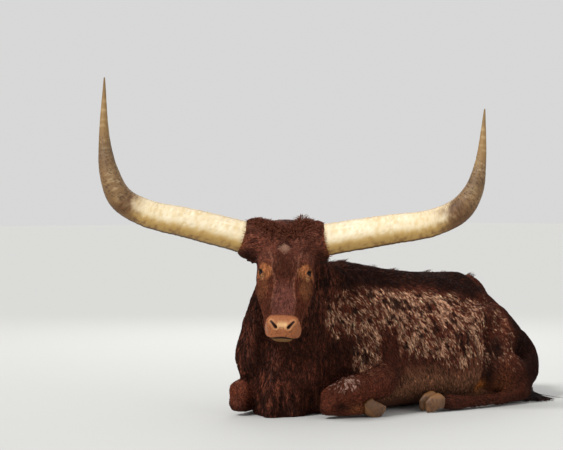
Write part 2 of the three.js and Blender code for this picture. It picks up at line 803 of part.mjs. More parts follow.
animal.updateMatrixWorld(true);
const box = new THREE.Box3().setFromObject(animal, true);
const middle = box.getCenter(v());
animal.position.set(-middle.x, -middle.y, -box.min.z);

export default animal;
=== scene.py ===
import math

import bmesh
import bpy
import numpy as np
from mathutils import Euler, Matrix, Vector
from mathutils.bvhtree import BVHTree


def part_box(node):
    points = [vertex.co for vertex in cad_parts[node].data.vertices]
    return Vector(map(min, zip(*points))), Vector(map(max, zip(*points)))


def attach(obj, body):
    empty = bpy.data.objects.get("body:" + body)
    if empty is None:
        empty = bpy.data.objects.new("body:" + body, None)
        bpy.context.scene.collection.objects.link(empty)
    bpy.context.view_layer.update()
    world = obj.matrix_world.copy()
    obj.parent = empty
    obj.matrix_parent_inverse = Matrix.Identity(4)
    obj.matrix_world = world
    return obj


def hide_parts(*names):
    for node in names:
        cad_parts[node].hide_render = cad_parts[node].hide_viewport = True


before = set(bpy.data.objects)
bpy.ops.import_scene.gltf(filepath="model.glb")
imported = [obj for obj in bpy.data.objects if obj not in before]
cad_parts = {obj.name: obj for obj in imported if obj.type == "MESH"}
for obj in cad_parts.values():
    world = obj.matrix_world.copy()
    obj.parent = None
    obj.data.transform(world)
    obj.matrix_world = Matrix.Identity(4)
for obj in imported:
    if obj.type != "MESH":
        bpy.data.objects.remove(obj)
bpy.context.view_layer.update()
rng = np.random.default_rng(11)
scene = bpy.context.scene

# places shared with the solids, in mm
pose = {
    "poll": (238, -525, 912),
    "neckTurn": 50,
    "faceTurn": 48,
    "facePitch": 57,
    "headRoll": 2,
    "hornShift": 11,
    "eyeRadius": 19,
    "eyePlaces": {"right": (-93, -236, -49), "left": (93, -236, -49)},
}


def placing(place, degrees):
    turn = Euler([math.radians(a) for a in degrees], "XYZ").to_matrix().to_4x4()
    return Matrix.Translation(place) @ turn


def moved(points, matrix):
    m = np.array(matrix)
    return np.asarray(points, float) @ m[:3, :3].T + m[:3, 3]


def turnedBy(vectors, matrix):
    return np.asarray(vectors, float) @ np.array(matrix)[:3, :3].T


headMatrix = placing(pose["poll"], (pose["facePitch"], pose["headRoll"], pose["faceTurn"]))
hornMatrix = placing(pose["poll"], (0, pose["headRoll"], pose["neckTurn"]))
hornMatrix = hornMatrix @ Matrix.Translation((-pose["hornShift"], 0, 0))
headInverse = headMatrix.inverted()
hornInverse = hornMatrix.inverted()

# the body's frame, in which this script works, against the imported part's frame
low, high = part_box("eye_left")
eyeLeftAt = headMatrix @ Vector(pose["eyePlaces"]["left"])
offset = np.array((low + high) / 2 * 1000 - eyeLeftAt)


# shared shape tools
def smoothstep(low, high, x):
    t = np.clip((x - low) / (high - low), 0, 1)
    return t * t * (3 - 2 * t)


def mixed(a, b, share):
    return a * (1 - share) + b * share


def unit(v):
    return v / np.maximum(np.linalg.norm(v, axis=-1, keepdims=True), 1e-9)


# Smooth random values between -1 and 1 at each point.
def cloud(points, seed=0):
    cell = np.floor(points).astype(np.int64)
    f = points - cell
    f = f * f * (3 - 2 * f)
    total = np.zeros(len(points))
    for corner in range(8):
        step = np.array([corner & 1, (corner >> 1) & 1, (corner >> 2) & 1])
        c = cell + step
        h = c[:, 0] * 374761393 + c[:, 1] * 668265263 + c[:, 2] * 1442695041 + seed * 974634777
        h = ((h ^ (h >> 13)) * 1274126177) & 0xFFFFFFFF
        h = (h ^ (h >> 16)) & 0xFFFF
        w = np.prod(np.where(step, f, 1 - f), axis=1)
        total += w * (h / 32767.5 - 1)
    return total


# A centripetal Catmull-Rom curve, the same one that the solids follow.
def through(points, t):
    p = np.array(points, float)
    n = len(p) - 1
    t = np.atleast_1d(np.array(t, float))
    i = np.minimum(np.floor(t * n).astype(int), n - 1)
    w = (t * n - i)[:, None]
    q = np.vstack([2 * p[0] - p[1], p, 2 * p[-1] - p[-2]])
    p0, p1, p2, p3 = q[i], q[i + 1], q[i + 2], q[i + 3]
    d0, d1, d2 = [((b - a) ** 2).sum(1)[:, None] ** 0.25 for a, b in ((p0, p1), (p1, p2), (p2, p3))]
    d1 = np.where(d1 < 1e-4, 1, d1)
    d0 = np.where(d0 < 1e-4, d1, d0)
    d2 = np.where(d2 < 1e-4, d1, d2)
    m1 = ((p1 - p0) / d0 - (p2 - p0) / (d0 + d1) + (p2 - p1) / d1) * d1
    m2 = ((p2 - p1) / d1 - (p3 - p1) / (d1 + d2) + (p3 - p2) / d2) * d1
    c2 = -3 * p1 + 3 * p2 - 2 * m1 - m2
    c3 = 2 * p1 - 2 * p2 + m1 + m2
    return p1 + m1 * w + c2 * w**2 + c3 * w**3


def ahead(points, t):
    t = np.atleast_1d(t)
    return unit(through(points, np.minimum(t + 1e-4, 1)) - through(points, np.maximum(t - 1e-4, 0)))


# A station is its place, its size as (half width, rise, drop), how square it is and how much
# narrower it gets above.
def station(at, size, square=2.2, narrow=0.0):
    size = (size, size, size) if np.isscalar(size) else size
    return (*at, *size, square, narrow)


# The same from rows of numbers. The last two may be left out.
def stationsFrom(rows, placed=lambda *at: at):
    return [station(placed(*row[:3]), row[3:6], *row[6:]) for row in rows]


def roundish(angle, size, form):
    c, s = np.cos(angle), np.sin(angle)
    power = 2 / form[:, :1]
    x = size[:, :1] * np.sign(c) * np.abs(c) ** power * (1 - form[:, 1:2] * s)
    z = np.where(s > 0, size[:, 1:2], size[:, 2:3]) * np.sign(s) * np.abs(s) ** power
    return x, z


def cupped(angle, size, form):
    outside = angle < math.pi
    half = np.where(outside, size[:, :1], size[:, :1] - size[:, 2:3])
    deep = np.where(outside, size[:, 1:2], size[:, 1:2] - size[:, 2:3])
    return half * np.cos(angle), deep * np.abs(np.sin(angle))


# A closed body lofted along a smooth path through stations: its points, its faces and the place
# of each ring on the path.
def loft(stations, steps, sides, up=(0, 0, 1), domes=(0, 0), grow=0.0, outline=roundish):
    s = np.array(stations, float)
    at, sizes, forms = s[:, :3], s[:, 3:6], np.column_stack([s[:, 6:8], np.zeros(len(s))])
    lifts = np.radians([80, 65, 50, 35, 18])
    first = lifts if domes[0] else lifts[:0]
    last = lifts[::-1] if domes[1] else lifts[:0]
    t = np.concatenate([0 * first, np.linspace(0, 1, steps + 1), 0 * last + 1])
    shift = np.concatenate([-domes[0] * np.sin(first), np.zeros(steps + 1), domes[1] * np.sin(last)])
    scale = np.concatenate([np.cos(first), np.ones(steps + 1), np.cos(last)])[:, None]
    way = ahead(at, t)
    rise = unit(np.array(up, float) - way * (way @ np.array(up, float))[:, None])
    across = np.cross(way, rise)
    middle = through(at, t) + way * shift[:, None]
    size = through(sizes, t)
    if outline is roundish:
        size = np.maximum(size * scale + grow, 0.5)
    angle = np.arange(sides) * 2 * math.pi / sides
    x, z = outline(angle[None, :], size, through(forms, t))
    rings = middle[:, None] + across[:, None] * x[..., None] + rise[:, None] * z[..., None]
    cap = 1 - math.sin(lifts[0])
    start = middle[0] - way[0] * (domes[0] * cap + grow)
    finish = middle[-1] + way[-1] * (domes[1] * cap + grow)
    points = np.vstack([rings.reshape(-1, 3), start, finish])
    count = len(t)
    j = np.arange(sides)
    k = (j + 1) % sides
    i = np.arange(count - 1)[:, None] * sides
    quads = np.stack([i + j, i + k, i + sides + k, i + sides + j], -1).reshape(-1, 4)
    a, b = count * sides, count * sides + 1
    end = (count - 1) * sides
    tris = np.vstack([np.stack([0 * j + a, k, j], -1), np.stack([0 * j + b, end + j, end + k], -1)])
    return points, quads, tris, t


def sculpted(points, touches):
    out = points.copy()
    for at, reach, by in touches:
        near = ((points - np.array(at)) / np.array(reach)) ** 2
        out += np.exp(-near.sum(1))[:, None] * np.array(by)
    return out


def bothSides(at, reach, by):
    return [(at, reach, by), ((-at[0], at[1], at[2]), reach, (-by[0], by[1], by[2]))]


# A mesh object from arrays of points, quads and triangles, in mm of the body's frame.
def solidObject(name, points, quads, tris=np.zeros((0, 3), int), smooth=True, shift=True):
    mesh = bpy.data.meshes.new(name)
    points = (np.asarray(points) + (offset if shift else 0)) / 1000
    mesh.vertices.add(len(points))
    mesh.vertices.foreach_set("co", points.ravel())
    mesh.loops.add(4 * len(quads) + 3 * len(tris))
    mesh.loops.foreach_set("vertex_index", np.concatenate([quads.ravel(), tris.ravel()]).astype(np.int32))
    starts = np.concatenate([np.arange(len(quads)) * 4, 4 * len(quads) + np.arange(len(tris)) * 3])
    mesh.polygons.add(len(quads) + len(tris))
    mesh.polygons.foreach_set("loop_start", starts.astype(np.int32))
    mesh.update(calc_edges=True)
    mesh.validate()
    if smooth:
        mesh.polygons.foreach_set("use_smooth", np.ones(len(mesh.polygons), bool))
    made = bpy.data.objects.new(name, mesh)
    scene.collection.objects.link(made)
    return made


# Joins several lists of points and faces into one.
def gathered(parts):
    points, quads, tris, start = [], [], [], 0
    for part in parts:
        points.append(part[0])
        quads.append(part[1] + start)
        tris.append(part[2] + start)
        start += len(part[0])
    return np.vstack(points), np.vstack(quads), np.vstack(tris)


def setColours(made, name, colours):
    layer = made.data.attributes.new(name, "FLOAT_COLOR", "POINT")
    colours = np.asarray(colours, np.float32)
    layer.data.foreach_set("color", np.column_stack([colours, np.ones(len(colours), np.float32)]).ravel())


def setNumbers(made, name, numbers):
    layer = made.data.attributes.new(name, "FLOAT", "POINT")
    layer.data.foreach_set("value", np.asarray(numbers, np.float32))


# the forms of the flesh, and how far they lie below the solids for the coat to fill
coatDepth = {"body": 5.0, "limb": 4.0, "head": 3.0}
# each form's name, its samples along its path, their radii and their way
forms = []


def addForm(parts, name, stations, steps, sides, matrix=None, touches=(), **more):
    points, quads, tris, _ = loft(stations, steps, sides, **more)
    if touches:
        points = sculpted(points, touches)
    s = np.array(stations, float)
    t = np.linspace(0, 1, 3 * len(s))
    path, way = through(s[:, :3], t), ahead(s[:, :3], t)
    radius = through(s[:, 3:6], t).mean(1)
    if matrix is not None:
        points, path, way = moved(points, matrix), moved(path, matrix), turnedBy(way, matrix)
    parts.append((points, quads, tris))
    forms.append((name, path, radius, way))


def torsoForm(parts):
    stations = stationsFrom([
        (0, -320, 300, 110, 160, 210),
        (0, -245, 305, 168, 275, 315),
        (0, -120, 312, 222, 366, 325, 2.2, 0.1),
        (0, 0, 320, 252, 390, 335, 2.2, 0.2),
        (0, 170, 310, 300, 384, 325, 2.2, 0.2),
        (0, 340, 295, 352, 378, 300, 2.25, 0.2),
        (0, 480, 285, 382, 374, 290, 2.3, 0.2),
        (0, 588, 285, 382, 371, 293, 2.3, 0.18),
        (0, 660, 288, 346, 366, 297, 2.3, 0.16),
        (0, 725, 295, 292, 358, 302, 2.3, 0.12),
        (0, 830, 300, 266, 344, 306, 2.2, 0.16),
        (0, 915, 300, 250, 286, 304, 2.1, 0.18),
        (0, 985, 290, 234, 228, 290, 2.2, 0.2),
        (0, 1045, 280, 206, 188, 285, 2.2, 0.2),
        (0, 1095, 260, 168, 150, 265, 2.2, 0.15),
        (0, 1132, 235, 112, 100, 235),
    ])
    touches = [
        *bothSides((240, -60, 390), (90, 130, 180), (30, 0, 0)),
        *bothSides((290, 130, 430), (80, 60, 160), (-20, 0, 0)),
        *bothSides((300, 545, 560), (90, 80, 80), (-24, 0, -8)),
        *bothSides((225, 690, 570), (62, 62, 62), (22, 0, 14)),
        *bothSides((120, 915, 540), (60, 80, 70), (-8, 0, -22)),
        *bothSides((92, 1060, 430), (50, 50, 50), (8, 12, 8)),
        ((0, 850, 650), (60, 80, 50), (0, 0, 8)),
        ((0, 10, 720), (60, 110, 60), (0, 0, 12)),
    ]
    addForm(parts, "torso", stations, 90, 72, touches=touches, domes=(30, 45), grow=-coatDepth["body"])


neckAngle = math.radians(pose["neckTurn"])


def seen(across, forward, z):
    c, s = math.cos(neckAngle), math.sin(neckAngle)
    return (c * across + s * forward, s * across - c * forward, z)


def neckForms(parts):
    grow = -coatDepth["body"]
    forward = (math.sin(neckAngle), -math.cos(neckAngle), 0)
    crest = stationsFrom([
        (0, 60, 440, 215, 270, 300),
        (10, -130, 458, 190, 272, 330, 2.2, 0.12),
        (50, -285, 548, 160, 214, 250, 2.2, 0.12),
        (112, -398, 662, 138, 156, 180, 2.2, 0.1),
        (168, -472, 762, 118, 120, 130),
    ])
    brisket = stationsFrom([
        (-275, 150, -30, 126, 140, 120, 2.3),
        (-275, 160, 60, 140, 158, 140, 2.3),
        (-275, 160, 140, 146, 160, 160, 2.2),
        (-272, 150, 220, 158, 138, 180),
        (-268, 150, 320, 176, 122, 190),
        (-262, 162, 430, 178, 112, 190),
        (-248, 190, 540, 160, 96, 170),
        (-235, 240, 650, 122, 76, 150),
    ], seen)
    rightLobe = stationsFrom([
        (-340, 236, 640, 44, 60, 80),
        (-372, 212, 520, 58, 78, 90),
        (-402, 198, 400, 70, 90, 100),
        (-420, 190, 290, 76, 94, 100),
        (-416, 186, 205, 64, 78, 80),
    ], seen)
    leftLobe = stationsFrom([
        (-138, 255, 640, 56, 60, 90),
        (-130, 232, 520, 74, 88, 110),
        (-126, 222, 400, 90, 104, 120),
        (-128, 214, 280, 98, 112, 120),
        (-136, 200, 160, 84, 92, 100),
    ], seen)
    dewlap = stationsFrom([
        (-322, 290, -20, 40, 40, 60),
        (-324, 312, 70, 46, 38, 60),
        (-318, 300, 150, 44, 34, 60),
        (-300, 268, 250, 30, 30, 60),
        (-280, 255, 370, 24, 26, 60),
        (-262, 252, 480, 20, 22, 50),
        (-250, 258, 590, 18, 20, 40),
    ], seen)
    addForm(parts, "neck", crest, 50, 60, domes=(20, 30), grow=grow)
    addForm(parts, "neck", brisket, 50, 56, up=forward, grow=grow)
    addForm(parts, "neck", rightLobe, 40, 40, up=forward, domes=(20, 34), grow=grow)
    addForm(parts, "neck", leftLobe, 40, 44, up=forward, domes=(20, 50), grow=grow)
    addForm(parts, "neck", dewlap, 50, 28, up=forward, grow=grow)


def headForm(parts):
    stations = stationsFrom([
        (0, 35, -92, 96, 42, 60),
        (0, 0, -86, 126, 74, 110, 2.4, -0.02),
        (0, -60, -80, 134, 84, 155, 2.6, -0.06),
        (0, -130, -76, 132, 83, 180, 2.6, -0.04),
        (0, -195, -76, 126, 78, 186, 2.5, 0.02),
        (0, -250, -80, 122, 72, 172, 2.4, 0.1),
        (0, -320, -98, 114, 79, 132, 2.3, 0.18),
        (0, -385, -103, 99, 74, 104, 2.3, 0.16),
        (0, -435, -103, 88, 69, 88, 2.4, 0.1),
        (0, -475, -102, 83, 66, 77, 2.6, 0.02),
        (0, -508, -106, 78, 57, 66, 2.7),
        (0, -530, -110, 67, 40, 50, 2.7),
        (0, -541, -112, 46, 24, 30, 2.4),
    ])
    touches = [
        *bothSides((104, -205, -22), (30, 38, 26), (8, 0, 10)),
        *bothSides((104, -262, -36), (20, 20, 18), (-5, 0, -4)),
        *bothSides((116, -282, -84), (30, 36, 26), (8, 0, 0)),
        *bothSides((112, -215, -165), (46, 66, 62), (14, 0, 0)),
        *bothSides((104, -315, -40), (34, 90, 30), (-10, 0, -9)),
        *bothSides((60, -480, -58), (30, 30, 26), (8, -2, 6)),
        *bothSides((60, -505, -112), (34, 34, 26), (9, -4, 0)),
        ((0, -120, 14), (46, 70, 30), (0, 0, -8)),
        ((0, -505, -172), (44, 30, 24), (0, 0, -6)),
    ]
    addForm(parts, "head", stations, 90, 80, headMatrix, touches, domes=(25, 5), grow=-coatDepth["head"])


hornShapes = {
    "right": {"side": -1, "reach": 845, "rise": 632},
    "left": {"side": 1, "reach": 891, "rise": 549},
}
hornBase = 74


def hornPath(side, reach, rise):
    return [
        (side * 92, 30, -96),
        (side * 178, 22, -72),
        (side * 0.525 * reach, 6, -14),
        (side * 0.752 * reach, -8, 26),
        (side * 0.885 * reach, -18, 88),
        (side * 0.952 * reach, -20, 0.32 * rise),
        (side * 0.985 * reach, -8, 0.56 * rise),
        (side * reach, 20, rise),
    ]


def sleeveForms(parts):
    for shape in hornShapes.values():
        inner, outer = [np.array(p, float) for p in hornPath(**shape)[:2]]
        stations = [
            station(inner - (outer - inner) * 0.6, (88, 78, 82)),
            station(inner, (96, 86, 94)),
            station(outer, (89, 86, 84)),
            station(outer + (outer - inner) * 0.12, (77, 77, 77)),
        ]
        look = {"up": (0, -1, 0), "domes": (30, 4), "grow": -coatDepth["head"]}
        addForm(parts, "sleeve", stations, 30, 48, hornMatrix, **look)


# A place on the ear, at a share of its length from the root.
def earPlace(sign, share, out=0):
    return (sign * (104 + share * 98), -80 + share * 44 + out, -98 - share * 150)


def earForms(parts):
    for sign in (-1, 1):
        stations = [
            station(earPlace(sign, 0), (24, 26, 20)),
            station(earPlace(sign, 0.16), (30, 30, 16)),
            station(earPlace(sign, 0.34, -3), (44, 31, 13)),
            station(earPlace(sign, 0.58, -4), (48, 27, 12)),
            station(earPlace(sign, 0.82), (33, 18, 10)),
            station(earPlace(sign, 1, 8), (12, 9, 6)),
        ]
        addForm(parts, "ear", stations, 40, 40, headMatrix, up=(-sign * 0.75, 0.25, -0.6), outline=cupped)


# The stretches of each leg: its stations as (x, y, z, size, how much taller than wide).
def limb(parts, name, stretches):
    for domes, rows in stretches:
        stations = []
        for x, y, z, size, *tall in rows:
            high = size * (tall[0] if tall else 1)
            stations.append(station((x, y, z), (size, high, high)))
        addForm(parts, name, stations, 36, 36, domes=domes, grow=-coatDepth["limb"])


def legForms(parts):
    limb(parts, "foreleg", [
        ((40, 40), [
            (232, 80, 210, 98),
            (286, 0, 158, 84),
            (284, -100, 142, 68, 1.05),
            (262, -192, 128, 57, 1.26),
            (238, -262, 94, 54, 1.12),
        ]),
        ((34, 20), [
            (234, -278, 56, 46),
            (250, -230, 42, 36),
            (270, -182, 36, 32),
            (280, -146, 42, 39),
            (288, -116, 38, 35),
        ]),
    ])
    limb(parts, "foreleg", [
        ((40, 44), [
            (-205, -60, 205, 96),
            (-240, -150, 152, 82),
            (-210, -300, 140, 67),
            (-166, -430, 128, 58),
            (-130, -505, 112, 58),
        ]),
        ((34, 20), [
            (-128, -522, 62, 50),
            (-150, -465, 44, 38),
            (-188, -400, 36, 32),
            (-214, -350, 42, 39),
            (-232, -316, 38, 35),
        ]),
    ])
    for side, spread, back in ((1, 0, 0), (-1, 22, -30)):
        out = side * spread
        limb(parts, "hindleg", [
            ((60, 50), [
                (side * 152, 915, 338, 144),
                (side * 205 + out, 850, 300, 144),
                (side * 254 + out, 745 + back, 236, 118),
                (side * 266 + out, 668 + back, 192, 90),
            ]),
            ((50, 30), [
                (side * 158, 1040, 268, 114),
                (side * 226, 1034, 210, 110),
                (side * 300 + out, 985, 150, 92),
                (side * 352 + out, 930, 112, 64),
            ]),
            ((46, 50), [
                (side * 272 + out, 678 + back, 160, 80, 1.1),
                (side * 308 + out, 760, 158, 84, 1.4),
                (side * 334 + out, 855, 138, 80, 1.4),
                (side * 366 + out, 922, 94, 58, 1.1),
            ]),
            ((40, 20), [
                (side * 388 + out, 900, 62, 52),
                (side * 402 + out, 790, 44, 37),
                (side * 408 + out, 640, 34, 31),
                (side * 400 + out, 500, 34, 32),
                (side * 390 + out, 402, 40, 40),
                (side * 378 + out, 345, 40, 35),
            ]),
        ])


# the tail's middle line, with its radius at each place
tailPath = [
    (0, 902, 604, 35),
    (0, 965, 570, 34),
    (3, 1025, 508, 30),
    (10, 1085, 430, 26),
    (28, 1135, 350, 22),
    (62, 1180, 270, 20),
    (108, 1200, 170, 18),
    (172, 1182, 68, 17),
    (232, 1136, 34, 17),
]


# Flesh that closes the hollows below the thighs, at the flank and between the rump and the buttocks,
# and along the crest of the neck.
def fillForms(parts):
    for side in (-1, 1):
        low = [
            station((side * 190, 560, 50), 70),
            station((side * 262, 740, 66), 84),
            station((side * 250, 960, 80), 90),
        ]
        flank = [
            station((side * 250, 630, 420), 84),
            station((side * 232, 715, 415), 84),
            station((side * 215, 800, 405), 84),
        ]
        rump = [
            station((side * 146, 888, 420), 96),
            station((side * 212, 924, 332), 104),
            station((side * 248, 940, 272), 106),
        ]
        for stations, sides, dome in ((low, 24, 30), (flank, 28, 40), (rump, 28, 40)):
            addForm(parts, "torso", stations, 16, sides, domes=(dome, dome), grow=-coatDepth["limb"])
    crest = [
        station((128, -410, 690), 90),
        station((160, -330, 655), 92),
        station((150, -250, 632), 95),
        station((118, -150, 610), 100),
    ]
    addForm(parts, "neck", crest, 16, 28, domes=(30, 60), grow=-coatDepth["limb"])


def tailForm(parts):
    stations = [station(p[:3], p[3]) for p in tailPath]
    addForm(parts, "tail", stations, 90, 24, domes=(20, 10), grow=-coatDepth["limb"])


# one skin over all of it
skinLook = {"grain": 10.5, "smoothing": 9, "pushBack": 2.04, "blend": 9}


def meshArrays(mesh):
    points = np.zeros(len(mesh.vertices) * 3)
    mesh.vertices.foreach_get("co", points)
    edges = np.zeros(len(mesh.edges) * 2, np.int32)
    mesh.edges.foreach_get("vertices", edges)
    return points.reshape(-1, 3), edges.reshape(-1, 2)


def pointNormals(mesh):
    normals = np.zeros(len(mesh.vertices) * 3, np.float32)
    mesh.vertex_normals.foreach_get("vector", normals)
    return normals.reshape(-1, 3).astype(float)


def movePoints(mesh, points):
    mesh.vertices.foreach_set("co", np.asarray(points, float).ravel())
    mesh.update()


# Moves each point towards the middle of its neighbours, and back again on every other round
# where its form is kept.
def relaxed(points, edges, share, rounds, kept=0.0):
    a, b = edges.T
    n = len(points)
    count = np.bincount(a, minlength=n) + np.bincount(b, minlength=n)
    share = np.zeros(n) + share
    for i in range(rounds):
        sums = [np.bincount(a, points[b, k], n) + np.bincount(b, points[a, k], n) for k in range(3)]
        step = share if i % 2 == 0 else share * (1 - skinLook["pushBack"] * kept)
        middle = np.stack(sums, 1) / np.maximum(count, 1)[:, None]
        points = points + step[:, None] * (middle - points)
    return points


# How much each point belongs to each form, from 0 to 1, and which way the nearest form runs there.
def belonging(points):
    names = sorted({f[0] for f in forms})
    nearest = {name: np.full(len(points), 50.0) for name in names}
    best = np.full(len(points), 1e9)
    way = np.zeros((len(points), 3))
    for name, path, radius, ways in forms:
        for p, r, w in zip(path, radius, ways):
            d = np.sqrt(((points - p) ** 2).sum(1)) / r
            nearest[name] = np.minimum(nearest[name], d)
            closer = d < best
            best[closer] = d[closer]
            way[closer] = w
    weights = {name: np.exp(-skinLook["blend"] * (nearest[name] - best)) for name in names}
    total = sum(weights.values())
    return {name: weights[name] / total for name in names}, way


def builtSkin():
    parts = []
    for build in (torsoForm, neckForms, headForm, sleeveForms, earForms, legForms, fillForms, tailForm):
        build(parts)
    rough = solidObject("rough", *gathered(parts), shift=False)
    rough.data.transform(Matrix.Scale(1000, 4))
    remesh = rough.modifiers.new("one surface", "REMESH")
    remesh.mode = "VOXEL"
    remesh.voxel_size = skinLook["grain"]
    graph = bpy.context.evaluated_depsgraph_get()
    whole = bpy.data.meshes.new_from_object(rough.evaluated_get(graph))
    bpy.data.objects.remove(rough)
    points, edges = meshArrays(whole)
    part, _ = belonging(points)
    share = 0.5 - 0.3 * part["head"] - 0.25 * part["sleeve"]
    thin = part["ear"] + part["tail"] + part["foreleg"] * 0.6 + part["hindleg"] * 0.6
    movePoints(whole, relaxed(points, edges, share, skinLook["smoothing"], np.clip(thin, 0, 1)))
    return whole


def unwrapped(mesh):
    made = bpy.data.objects.new("unwrapped", mesh)
    scene.collection.objects.link(made)
    bpy.ops.object.select_all(action="DESELECT")
    bpy.context.view_layer.objects.active = made
    made.select_set(True)
    bpy.ops.object.mode_set(mode="EDIT")
    bpy.ops.mesh.select_all(action="SELECT")
    bpy.ops.uv.smart_project(angle_limit=math.radians(66), island_margin=0.001)
    bpy.ops.object.mode_set(mode="OBJECT")
    bpy.data.objects.remove(made)
    mesh.uv_layers[0].name = "OFBake"


# Finer faces round the head, finer at the muzzle and the eyes, and finest at the lids and the nostrils.
def refined(mesh):
    grid = bmesh.new()
    grid.from_mesh(mesh)
    eyes = [Vector(p) for p in pose["eyePlaces"].values()]

    def nearEyes(p, reach):
        return min((p - e).length for e in eyes) < reach

    def nearHead(p):
        return -560 < p.y < 60 and abs(p.x) < 150 and -150 < p.z < 60

    def nearDetail(p):
        return (p.y < -440 and p.z > -160) or nearEyes(p, 46)

    def nearEdge(p):
        nostrils = abs(abs(p.x) - 41) < 26 and p.y < -470 and p.z > -75
        return nostrils or nearEyes(p, 30)

    for wanted in (nearHead, nearDetail, nearEdge):
        chosen = [f for f in grid.faces if wanted(headInverse @ f.calc_center_median())]
        edges = list({e for f in chosen for e in f.edges})
        bmesh.ops.subdivide_edges(grid, edges=edges, cuts=1, use_grid_fill=True, smooth=0.6)
    bmesh.ops.triangulate(grid, faces=[f for f in grid.faces if len(f.verts) > 4])
    grid.to_mesh(mesh)
    grid.free()


skin = builtSkin()
unwrapped(skin)
refined(skin)
print("skin", len(skin.vertices))


# the folds, lids, nostrils and lips
faceLook = {"ridge": 2.6, "mouthDepth": 6.0, "nostrilDepth": 15.0}


def bump(x, width):
    return np.exp(-((x / width) ** 2))


def bell(points, at, reach):
    return np.exp(-(((points - np.array(at)) / np.array(reach)) ** 2).sum(1))


# The same places on the left side, for forms that both sides share.
def onLeft(p):
    return np.column_stack([np.abs(p[:, 0]), p[:, 1:]])


# The line of the lips, as its height in the head's frame.
def lipLine(h):
    side = np.abs(h[:, 0])
    back = smoothstep(-515, -455, h[:, 1])
    return -86 - 22 * np.clip(side / 64, 0, 1.15) ** 2 - 6 * back


# Distance to a path of points, and how far along it the nearest place is.
def alongPath(points, path):
    path = np.array(path, float)
    best = np.full(len(points), 1e9)
    where = np.zeros(len(points))
    for i in range(len(path) - 1):
        a, d = path[i], path[i + 1] - path[i]
        t = np.clip(((points - a) @ d) / (d @ d), 0, 1)
        gap = np.linalg.norm(points - a - t[:, None] * d, axis=1)
        closer = gap < best
        best[closer] = gap[closer]
        where[closer] = (i + t[closer]) / (len(path) - 1)
    return best, where


# How far the ridge at each side of the nose lies from the middle.
def ridgeLine(y):
    top = 16 * smoothstep(-292, -222, y) + 10 * smoothstep(-200, -150, y)
    return 42 + top + 11 * smoothstep(-300, -390, y)


# The upper edge of the nose pad: below zero inside it.
def padRim(h):
    return h[:, 1] + 452 + 28 * smoothstep(54, 86, np.abs(h[:, 0])) + 2.5 * cloud(h / 9, 8)


nostrilPath = [(50, -488, -40), (43, -496, -40), (36, -504, -43), (28, -511, -50)]


# how far out each arc over an eye lies, and how high it stands
browRings = ((44, 2.4), (59, 1.9), (73, 1.3))


# Distance from the middle of the arcs over each eye, and how much a place is in their upper half.
def browArcs(side, y):
    return np.hypot(side - 92, (y + 236) / 1.15), smoothstep(-246, -222, y)


# How far the head's skin is pushed out, and where its nostrils open.
def facePushes(h):
    x, y, z = h.T
    side = np.abs(x)
    mirrored = onLeft(h)
    front = smoothstep(-60, -20, z)
    push = np.zeros(len(h))
    ridgeAt = ridgeLine(y)
    long = smoothstep(-110, -170, y) * (1 - smoothstep(-405, -450, y))
    push += faceLook["ridge"] * bump(side - ridgeAt, 6) * front * long
    push -= 2.2 * smoothstep(ridgeAt, ridgeAt - 14, side) * front * long
    push -= 2.5 * bump(side - ridgeAt - 17, 9) * front * long
    crest = bump(z + 96 + 0.10 * (y + 300), 13) * smoothstep(-265, -300, y) * (1 - smoothstep(-380, -440, y))
    push += 4.5 * crest
    push += 8 * bell(mirrored, (112, -312, -100), (60, 52, 46))
    push += 3 * bell(mirrored, (110, -200, -170), (60, 45, 40))
    arc, upper = browArcs(side, y)
    for ringAt, high in browRings:
        push += high * bump(arc - ringAt, 4.2) * upper * front
    push += 1.6 * cloud(h / np.array((26, 34, 26)), 4) * smoothstep(-40, -90, y) * front
    # nose pad, chin and lips
    gap, share = alongPath(mirrored, nostrilPath)
    wide = 2.8 + 3.0 * smoothstep(0.1, 0.95, share)
    push += 3.0 * bump(gap - wide - 7, 5)
    push += 1.0 * bell(mirrored, (62, -490, -66), (22, 26, 26))
    push += 3.2 * smoothstep(-440, -474, y)
    push += (3.5 * smoothstep(-20, 20, x) - 3.5) * bell(mirrored, (72, -520, -98), (22, 30, 20))
    hollow = (4 + 6 * smoothstep(-20, -60, x)) * smoothstep(20, 60, side)
    push -= hollow * bell(mirrored, (82, -498, -88), (34, 46, 44))
    push += 0.7 * cloud(h / 5.5, 46) * smoothstep(-452, -470, y)
    line = lipLine(h)
    push -= 1.6 * bump(x, 2.6) * smoothstep(-505, -525, y) * smoothstep(line - 2, line + 8, z)
    push -= 1.4 * bump(padRim(h) - 1, 4) * front
    mouth = smoothstep(-448, -470, y)
    push -= faceLook["mouthDepth"] * bump(z - line, 4.0) * mouth
    push += 2.2 * bump(z - line - 9, 7) * mouth
    chin = smoothstep(line - 2, line - 12, z) * smoothstep(-440, -500, y)
    push -= 7 * chin * smoothstep(30, 62, side) + 5 * chin
    push += 3.5 * bell(h, (0, -520, -140), (34, 24, 16))
    push -= 3.0 * bell(mirrored, (80, -452, -118), (8, 9, 12))
    hole = smoothstep(wide + 1.6, wide - 1.6, gap)
    return push, hole


def eyeAxes(side):
    sign = 1 if side == "left" else -1
    turn = Euler((math.radians(-6), math.radians(54 * sign), 0), "XYZ").to_matrix()
    return np.array(turn), np.array(pose["eyePlaces"][side], float), -sign


# The eye's opening: its length runs from the corner at the nose to the one at the ear.
lidLook = {"tilt": 20, "half": 14.0, "high": 8.8, "drop": 3.0, "thick": 4.5, "soft": 5.0, "behind": 3.0}
lidTilt = math.radians(lidLook["tilt"])


def alongLids(x, y, up):
    along = math.cos(lidTilt) * x * up - math.sin(lidTilt) * y
    across = math.sin(lidTilt) * x * up + math.cos(lidTilt) * y
    return along, across + lidLook["drop"]


